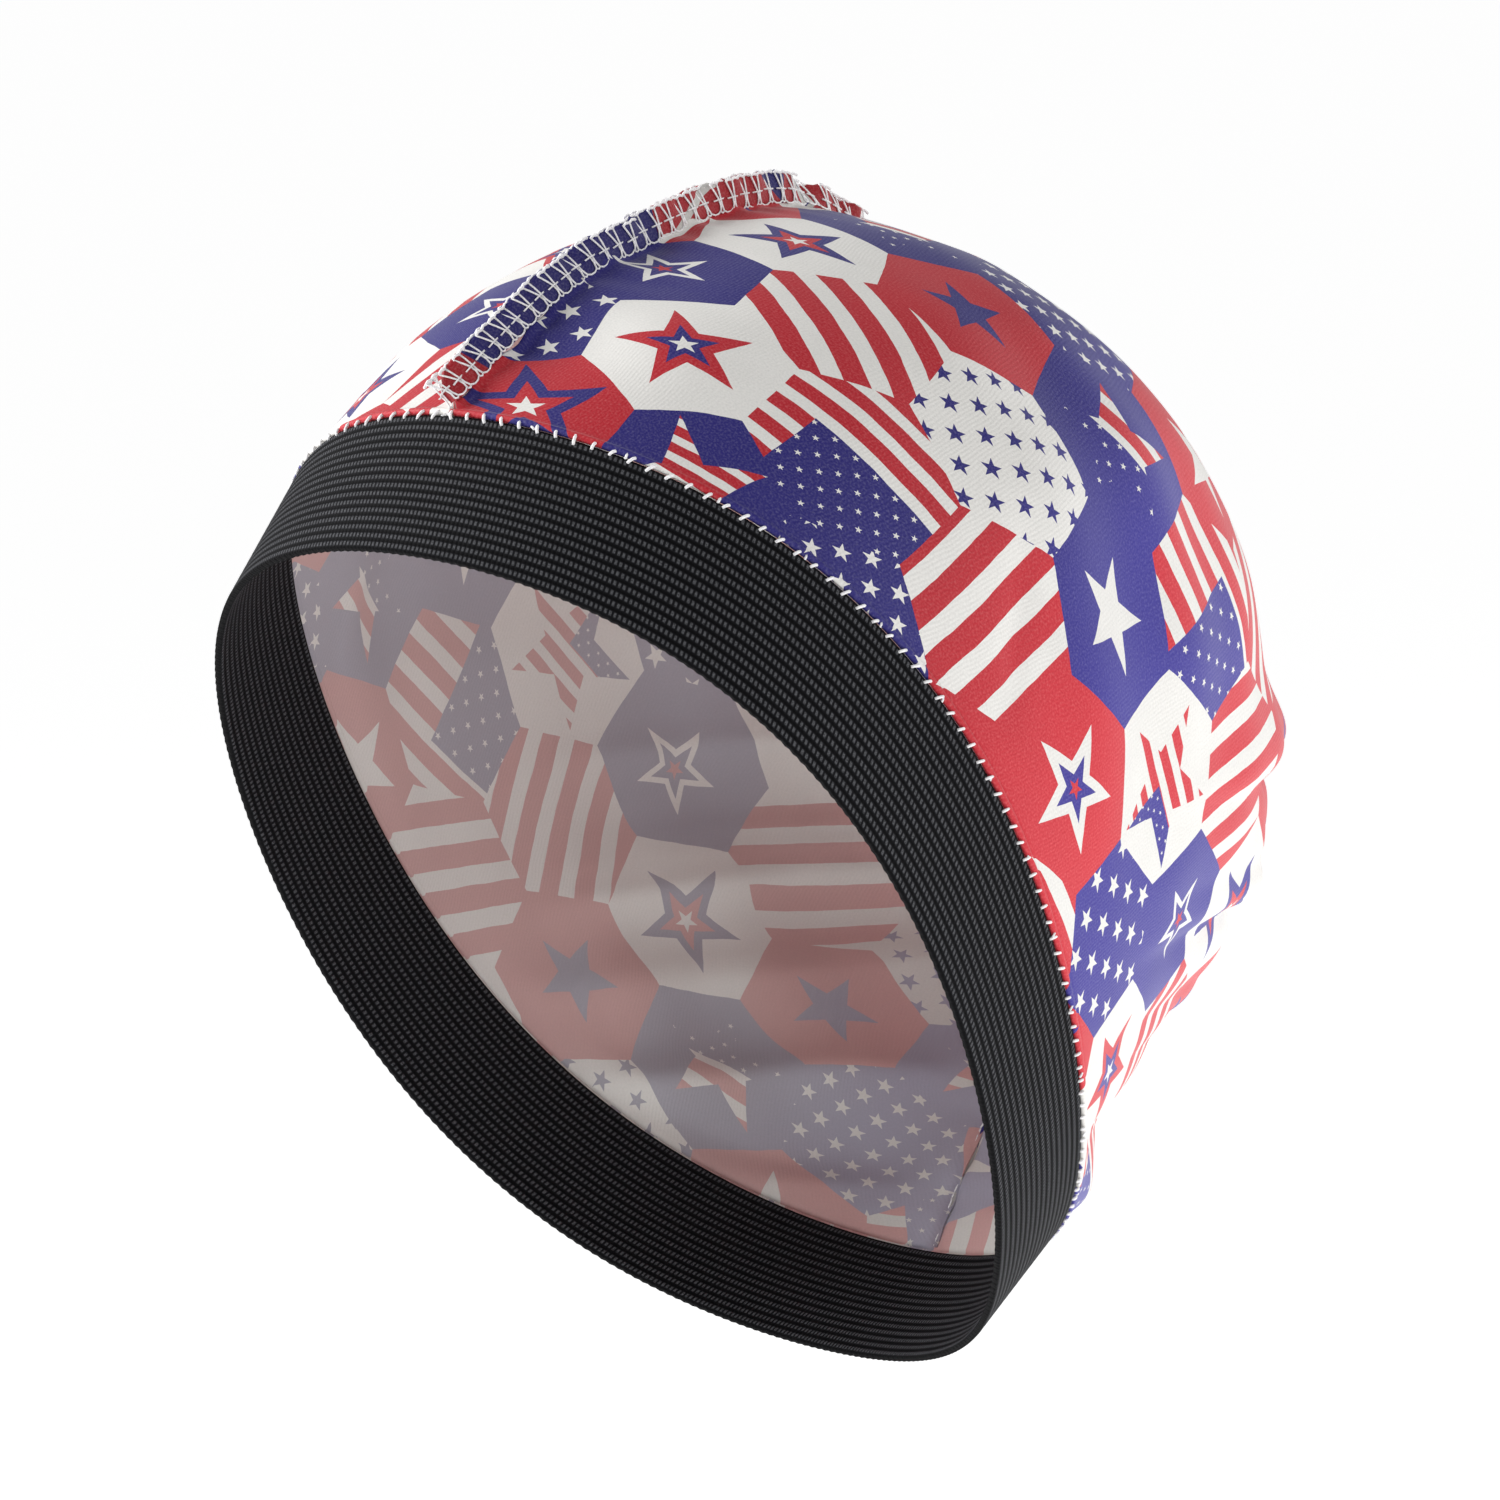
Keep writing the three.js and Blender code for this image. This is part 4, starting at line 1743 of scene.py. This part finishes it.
def join_meshes(name: str, meshes: Sequence[bpy.types.Mesh],
                finish: bpy.types.Material) -> bpy.types.Object:
    """Joins meshes of one finish into one object.

    Args:
        name: the object's name.
        meshes: the meshes, which are used up.
        finish: their finish.

    Returns:
        The object, in the scene.
    """
    vertices: list[np.ndarray] = []
    faces: list[tuple[int, ...]] = []
    start = 0
    for mesh in meshes:
        block = np.empty(len(mesh.vertices) * 3)
        mesh.vertices.foreach_get("co", block)
        vertices.append(block.reshape(-1, 3))
        faces.extend(tuple(start + number for number in face.vertices) for face in mesh.polygons)
        start += len(mesh.vertices)
        bpy.data.meshes.remove(mesh)
    joined = bpy.data.meshes.new(name)
    joined.from_pydata(np.concatenate(vertices).tolist(), [], faces)
    joined.polygons.foreach_set("use_smooth", np.ones(len(joined.polygons), dtype=bool))
    joined.materials.append(finish)
    joined.update()
    return put_in_scene(name, joined)


@dataclass
class SergingThreads:
    """The overlocking on both faces of the fin.

    Attributes:
        fin: the fin it is sewn on.
        tree: the tree that sews the rows.
        pitch: the distance from stitch to stitch.
        radius, purl_radius: the radius of the thread, and of the one over the free edge.
        swing: the most that a stitch turns off square, in radians.
        spread: how much the stitches' lengths differ.
    """

    fin: SeamFin
    tree: StitchTree
    pitch: float = 0.0037
    radius: float = 0.00020
    purl_radius: float = 0.00030
    swing: float = 0.04
    spread: float = 0.03

    def figures(self) -> tuple[ThreadFigure, ThreadFigure]:
        """One stitch of the overlocking up the fin's face, and its purl over the free edge."""
        top, high, bend = 0.98, 0.72, 0.46
        strokes = (
            ((-1.55, top, 0.10), (-0.80, high, 0.16), (-0.05, bend, 0.14)),
            ((0.30, top, 0.10), (0.42, high, 0.16), (0.50, bend, 0.14)),
            ((-1.60, 0.45, 0.20), (0.0, 0.46, 0.22), (1.30, 0.45, 0.20)),
            ((-0.05, 0.45, 0.14), (0.05, 0.25, 0.18), (-0.25, 0.06, 0.14)),
            ((0.50, 0.45, 0.14), (0.45, 0.25, 0.18), (0.75, 0.06, 0.14)),
            ((0.75, 0.06, 0.16), (1.50, -0.01, 0.20), (2.55, -0.01, 0.20), (3.45, 0.06, 0.16)),
            ((-0.25, 0.06, 0.16), (0.25, 0.01, 0.20), (0.75, 0.06, 0.16)),
        )
        purls = (
            ((-1.55, top, 0.10), (-0.65, 1.02, 0.0), (0.30, top, 0.10)),
            ((0.30, top, 0.10), (1.20, 1.03, 0.0), (2.15, top, 0.10)),
        )
        scale = (MM, self.fin.height, MM)
        sized = [tuple(tuple(part * by for part, by in zip(point, scale)) for point in stroke)
                 for stroke in strokes + purls]
        overlock = ThreadFigure("overlock", tuple(sized[:len(strokes)]), self.radius)
        return overlock, ThreadFigure("purl", tuple(sized[len(strokes):]), self.purl_radius, 4)

    def build(self, finish: bpy.types.Material) -> bpy.types.Object:
        """Sews both faces and joins them.

        Args:
            finish: the thread's finish.

        Returns:
            The threads as one object.
        """
        spine = self.fin.spine()
        form = self.fin.form
        rows = []
        for side, seed in ((1.0, 5), (-1.0, 6)):
            foot = self.fin.profile(spine, 0.0, side)
            edge = self.fin.profile(spine, 1.0, side)
            up = unit(edge - foot)
            out = unit(spine["across"] * side - up * np.sum(spine["across"] * side * up, -1)[:, None])
            for figure in self.figures():
                row = StitchRow(self.tree, figure, self.pitch, self.swing, self.spread, seed)
                rows.append(row.sew(form.worn(foot), turn_directions(form, up),
                                    turn_directions(form, out), False, finish))
        return join_meshes("seam_fin_threads", rows, finish)


def turn_directions(form: CapForm, directions: np.ndarray) -> np.ndarray:
    """Upright directions, as they point when the cap is worn."""
    return form.worn(directions) - form.worn(np.zeros_like(directions))


@dataclass
class JoinStitches:
    """The short white stitches that show where the roll meets the elastic.

    Attributes:
        form: the cap's form.
        tree: the tree that sews the rows.
        pitch: the distance from stitch to stitch.
        every: how many stitches there are to each one that is doubled.
        length: a stitch's length.
        radius: the radius of the thread.
        swing, spur_swing: the most that a stitch, and the one that doubles it, turns, in radians.
        spread: how much the stitches' lengths differ.
        lean: how far they lean off the line up the band.
        turn_over, turn_length: how far from the forehead the lean changes sides, and half the
            length in which it does.
        samples: the number of points in the line they are sewn along.
    """

    form: CapForm
    tree: StitchTree
    pitch: float = 0.00375
    every: int = 5
    length: float = 0.0016
    radius: float = 0.00031
    swing: float = 0.16
    spur_swing: float = 0.10
    spread: float = 0.22
    lean: float = math.radians(26.0)
    turn_over: float = 0.030
    turn_length: float = 0.004
    samples: int = 720

    def figures(self) -> tuple[ThreadFigure, ThreadFigure]:
        """A plain stitch, and the short one that doubles it here and there."""
        half = 0.5 * self.length
        plain = ((0.0, -half, -0.0001), (0.0, -0.5 * half, 0.00022),
                 (0.1 * half, 0.4 * half, 0.00030), (0.25 * half, half, 0.0001))
        spur = ((-0.9 * half, 0.9 * half, 0.0), (-0.5 * half, 0.3 * half, 0.00028),
                (0.0, -0.4 * half, 0.00025))
        single = ThreadFigure("join_stitch", (plain,), self.radius, 5)
        return single, ThreadFigure("join_spur", (spur,), 0.8 * self.radius, 4)

    def build(self, finish: bpy.types.Material) -> bpy.types.Object:
        """Sews the loop, whose stitches lean one way at the forehead and the other behind it.

        Args:
            finish: the thread's finish.

        Returns:
            The stitches as one object.
        """
        half_round, mirror = self.form.loop(self.samples)
        line = self.form.band_point(half_round, self.form.band_width) * mirror
        _, up, out = self.form.band_frame(half_round)
        up, out = up * mirror, out * mirror
        step = np.linalg.norm(np.roll(line, -1, 0) - line, axis=-1)
        past = np.concatenate([[0.0], np.cumsum(step)[:-1]])
        from_front = np.minimum(past, step.sum() - past)
        backward = np.cross(up, out) * mirror[:, :1]
        turn_start, turn_end = self.turn_over - self.turn_length, self.turn_over + self.turn_length
        lean = self.lean * (2.0 * smoothstep(from_front, turn_start, turn_end) - 1.0)
        up = unit(up + backward * np.tan(lean)[:, None])
        single, spur = self.figures()
        sets = round(step.sum() / (self.every * self.pitch))
        exact = step.sum() / sets
        rows = []
        for figure, pitch, swing, seed in ((single, exact / self.every, self.swing, 11),
                                           (spur, exact, self.spur_swing, 12)):
            row = StitchRow(self.tree, figure, pitch, swing, self.spread, seed)
            rows.append(row.sew(self.form.worn(line), turn_directions(self.form, up),
                                turn_directions(self.form, out), True, finish))
        return join_meshes("join_stitches", rows, finish)


# ---------------------------------------------------------------------------
# The band
# ---------------------------------------------------------------------------


@dataclass
class ElasticBand:
    """The loop of black elastic, with lengthwise ribs and a finely toothed lower edge.

    Attributes:
        form: the cap's form.
        ribs: the number of ribs across its width.
        rows_per_rib: the number of rows of points that a rib is made of.
        rib_height: how far a rib stands out of its grooves.
        columns: the number of points round the loop.
        dash_length: the length of a bright dash of thread.
        tooth: the depth of the teeth along the lower edge.
        flat: the width and length of the elastic before it is stretched.
    """

    form: CapForm
    ribs: int = 16
    rows_per_rib: int = 4
    rib_height: float = 0.00020
    columns: int = 600
    dash_length: float = 0.0010
    tooth: float = 0.00010
    flat: tuple[float, float] = (0.030, 0.560)

    def build(self) -> bpy.types.Object:
        """Builds the loop as one closed wall."""
        half_round, mirror = self.form.loop(self.columns)
        steps = self.ribs * self.rows_per_rib
        across = np.linspace(0.0, float(self.ribs), steps + 1)
        relief = np.abs(np.sin(math.pi * across)) ** 0.8
        outer_depth = self.rib_height * (1.0 - relief)
        inner_across = across[::-1][::2]
        inner_relief = np.abs(np.sin(math.pi * inner_across)) ** 0.8
        inner_depth = self.form.band_thickness - self.rib_height * (1.0 - inner_relief)
        ring = np.concatenate([across, inner_across])
        depth = np.concatenate([outer_depth, inner_depth])
        teeth = self.tooth * np.where(np.arange(self.columns) % 2 == 0, 1.0, -1.0)
        rows = []
        for place, sink in zip(ring, depth):
            height = self.form.band_width * place / self.ribs
            edge = teeth if place == 0.0 else 0.0
            rows.append(self.form.band_point(half_round, height + edge, sink) * mirror)
        skin = Skin("band_elastic")
        numbers = skin.add_points(np.stack(rows, 0))
        numbers = np.vstack([numbers, numbers[:1]])
        numbers = np.hstack([numbers, numbers[:, :1]])
        loop = np.linalg.norm(np.diff(rows[0], axis=0), axis=1).sum()
        dashes = round(loop / self.dash_length)
        along = np.linspace(0.0, float(dashes), self.columns + 1)
        map_rows = np.concatenate([ring, ring[:1]])
        maps = np.stack(np.meshgrid(along, map_rows), -1)
        skin.add_quads(numbers, {THREAD_MAP: maps}, flip=False)
        return skin.finish(self.form)

    def dress(self, piece: bpy.types.Object, finish: bpy.types.Material,
              stitches: bpy.types.Object) -> None:
        """Gives the band its finish, and says what it is.

        Args:
            piece: the band.
            finish: its elastic's finish.
            stitches: the stitches that are sewn on it; not used.
        """
        piece.data.materials.append(finish)
        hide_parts("band")
        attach(piece, BODY)


# ---------------------------------------------------------------------------
# The studio
# ---------------------------------------------------------------------------


class SoftLight(NamedTuple):
    """A square light that points at the cap: its place from the cap's middle, in metres."""

    name: str
    place: tuple[float, float, float]
    size: float
    watts: float


@dataclass
class Studio:
    """A pale floor, soft lights and the camera.

    Attributes:
        floor_drop: how far the floor is below the cap's lowest point.
        floor_size: the floor's side.
        camera_place: where the camera stands.
        camera_turn: the direction it looks in, in degrees from straight ahead.
        camera_drop: how far it looks down, in degrees.
        lens: its focal length in millimetres.
        far_end: the distance past which it sees nothing, beyond the floor's edge.
        floor_colour, floor_glow: the floor's colour, and how much it glows.
        room_light: the strength of the even white light all round.
        lights: the soft lights.
    """

    floor_drop: float = 0.55
    floor_size: float = 60.0
    camera_place: tuple[float, float, float] = (0.78135, -0.99280, 0.07289)
    camera_turn: float = 38.32
    camera_drop: float = 7.92
    lens: float = 160.0
    far_end: float = 200.0
    floor_colour: Colour = srgb(243, 243, 243)
    floor_glow: float = 0.79
    room_light: float = 0.31
    lights: tuple[SoftLight, ...] = (
        SoftLight("right", (1.8, 0.2, 0.6), 1.2, 10.5),
        SoftLight("left", (-1.4, -0.9, 0.8), 1.4, 46.0),
        SoftLight("back", (0.6, 1.8, 0.6), 1.6, 11.0),
    )

    def add_floor(self, lowest: float) -> None:
        """Lays the floor below the cap."""
        half = 0.5 * self.floor_size
        height = lowest - self.floor_drop
        corners = [(-half, -half, height), (half, -half, height),
                   (half, half, height), (-half, half, height)]
        mesh = bpy.data.meshes.new("floor")
        mesh.from_pydata(corners, [], [(0, 1, 2, 3)])
        mesh.materials.append(PlainPaint("floor", self.floor_colour, self.floor_glow).make())
        put_in_scene("floor", mesh)

    def add_lights(self, middle: Vector) -> None:
        """Hangs the lights round the cap's middle."""
        for light in self.lights:
            data = bpy.data.lights.new(light.name, "AREA")
            data.size = light.size
            data.energy = light.watts
            lamp = put_in_scene(light.name, data)
            lamp.location = middle + Vector(light.place)
            lamp.rotation_euler = (middle - lamp.location).to_track_quat("-Z", "Y").to_euler()

    def add_world(self) -> None:
        """Fills the room with even white light."""
        world = bpy.data.worlds.new("studio")
        world.use_nodes = True
        background = world.node_tree.nodes["Background"]
        background.inputs["Color"].default_value = (1.0, 1.0, 1.0, 1.0)
        background.inputs["Strength"].default_value = self.room_light
        bpy.context.scene.world = world

    def add_camera(self) -> None:
        """Sets the camera up."""
        lens = bpy.data.cameras.new("camera")
        lens.lens = self.lens
        lens.clip_end = self.far_end
        camera = put_in_scene("camera", lens)
        camera.location = self.camera_place
        turn, drop = math.radians(self.camera_turn), math.radians(self.camera_drop)
        level = math.cos(drop)
        ahead = Vector((-math.sin(turn) * level, math.cos(turn) * level, -math.sin(drop)))
        camera.rotation_euler = ahead.to_track_quat("-Z", "Y").to_euler()
        bpy.context.scene.camera = camera

    def build(self, low: Vector, high: Vector) -> None:
        """Builds the studio round the cap's box."""
        middle = (low + high) * 0.5
        self.add_world()
        self.add_floor(low.z)
        self.add_lights(middle)
        self.add_camera()
        bpy.context.scene.view_settings.view_transform = "Standard"


# ---------------------------------------------------------------------------
# Everything together
# ---------------------------------------------------------------------------


def report(piece: bpy.types.Object) -> None:
    """Logs a finished piece's size and number of faces."""
    corners = np.array([corner[:] for corner in piece.bound_box])
    span = (corners.max(0) - corners.min(0)) / MM
    log.info("%s: %.1f x %.1f x %.1f mm, %d faces", piece.name, *span, len(piece.data.polygons))


def main() -> None:
    """Builds the cap and its studio."""
    logging.basicConfig(level=logging.INFO, format="%(name)s: %(message)s")
    form = CapForm()
    chart = PrintChart()
    tree = StitchTree()
    knit = PrintedKnit().make()
    knit_back = PrintedKnit("printed_knit_back", fade=0.55, sheen=0.2).make()
    fin_print = FinPrint()
    # The fin's cloth is darkened as painted shade, for the shade that it stands in.
    fin_cloth = PrintedKnit("printed_knit_fin", painted_shade=0.72, sheen=0.1, pattern=fin_print).make()
    thread = SewingThread().make()

    fin = SeamFin(form, fin_print)
    fin_piece = fin.build()
    fin.dress(fin_piece, fin_cloth)
    report(fin_piece)

    threads = SergingThreads(fin, tree).build(thread)
    stitches = JoinStitches(form, tree).build(thread)
    for piece in (threads, stitches):
        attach(piece, BODY)
        report(piece)

    for side, sewn_on in ((Side.LEFT, [fin_piece, threads]), (Side.RIGHT, [])):
        panel = CrownPanel(form, chart, side)
        piece = panel.build()
        panel.dress(piece, knit, knit_back, sewn_on)
        report(piece)

    band = ElasticBand(form)
    band_piece = band.build()
    band.dress(band_piece, RibbedElastic().make(), stitches)
    report(band_piece)

    low, high = (Vector(corner) for corner in CAD_BOX)
    Studio().build(low, high)


if __name__ == "__main__":
    main()
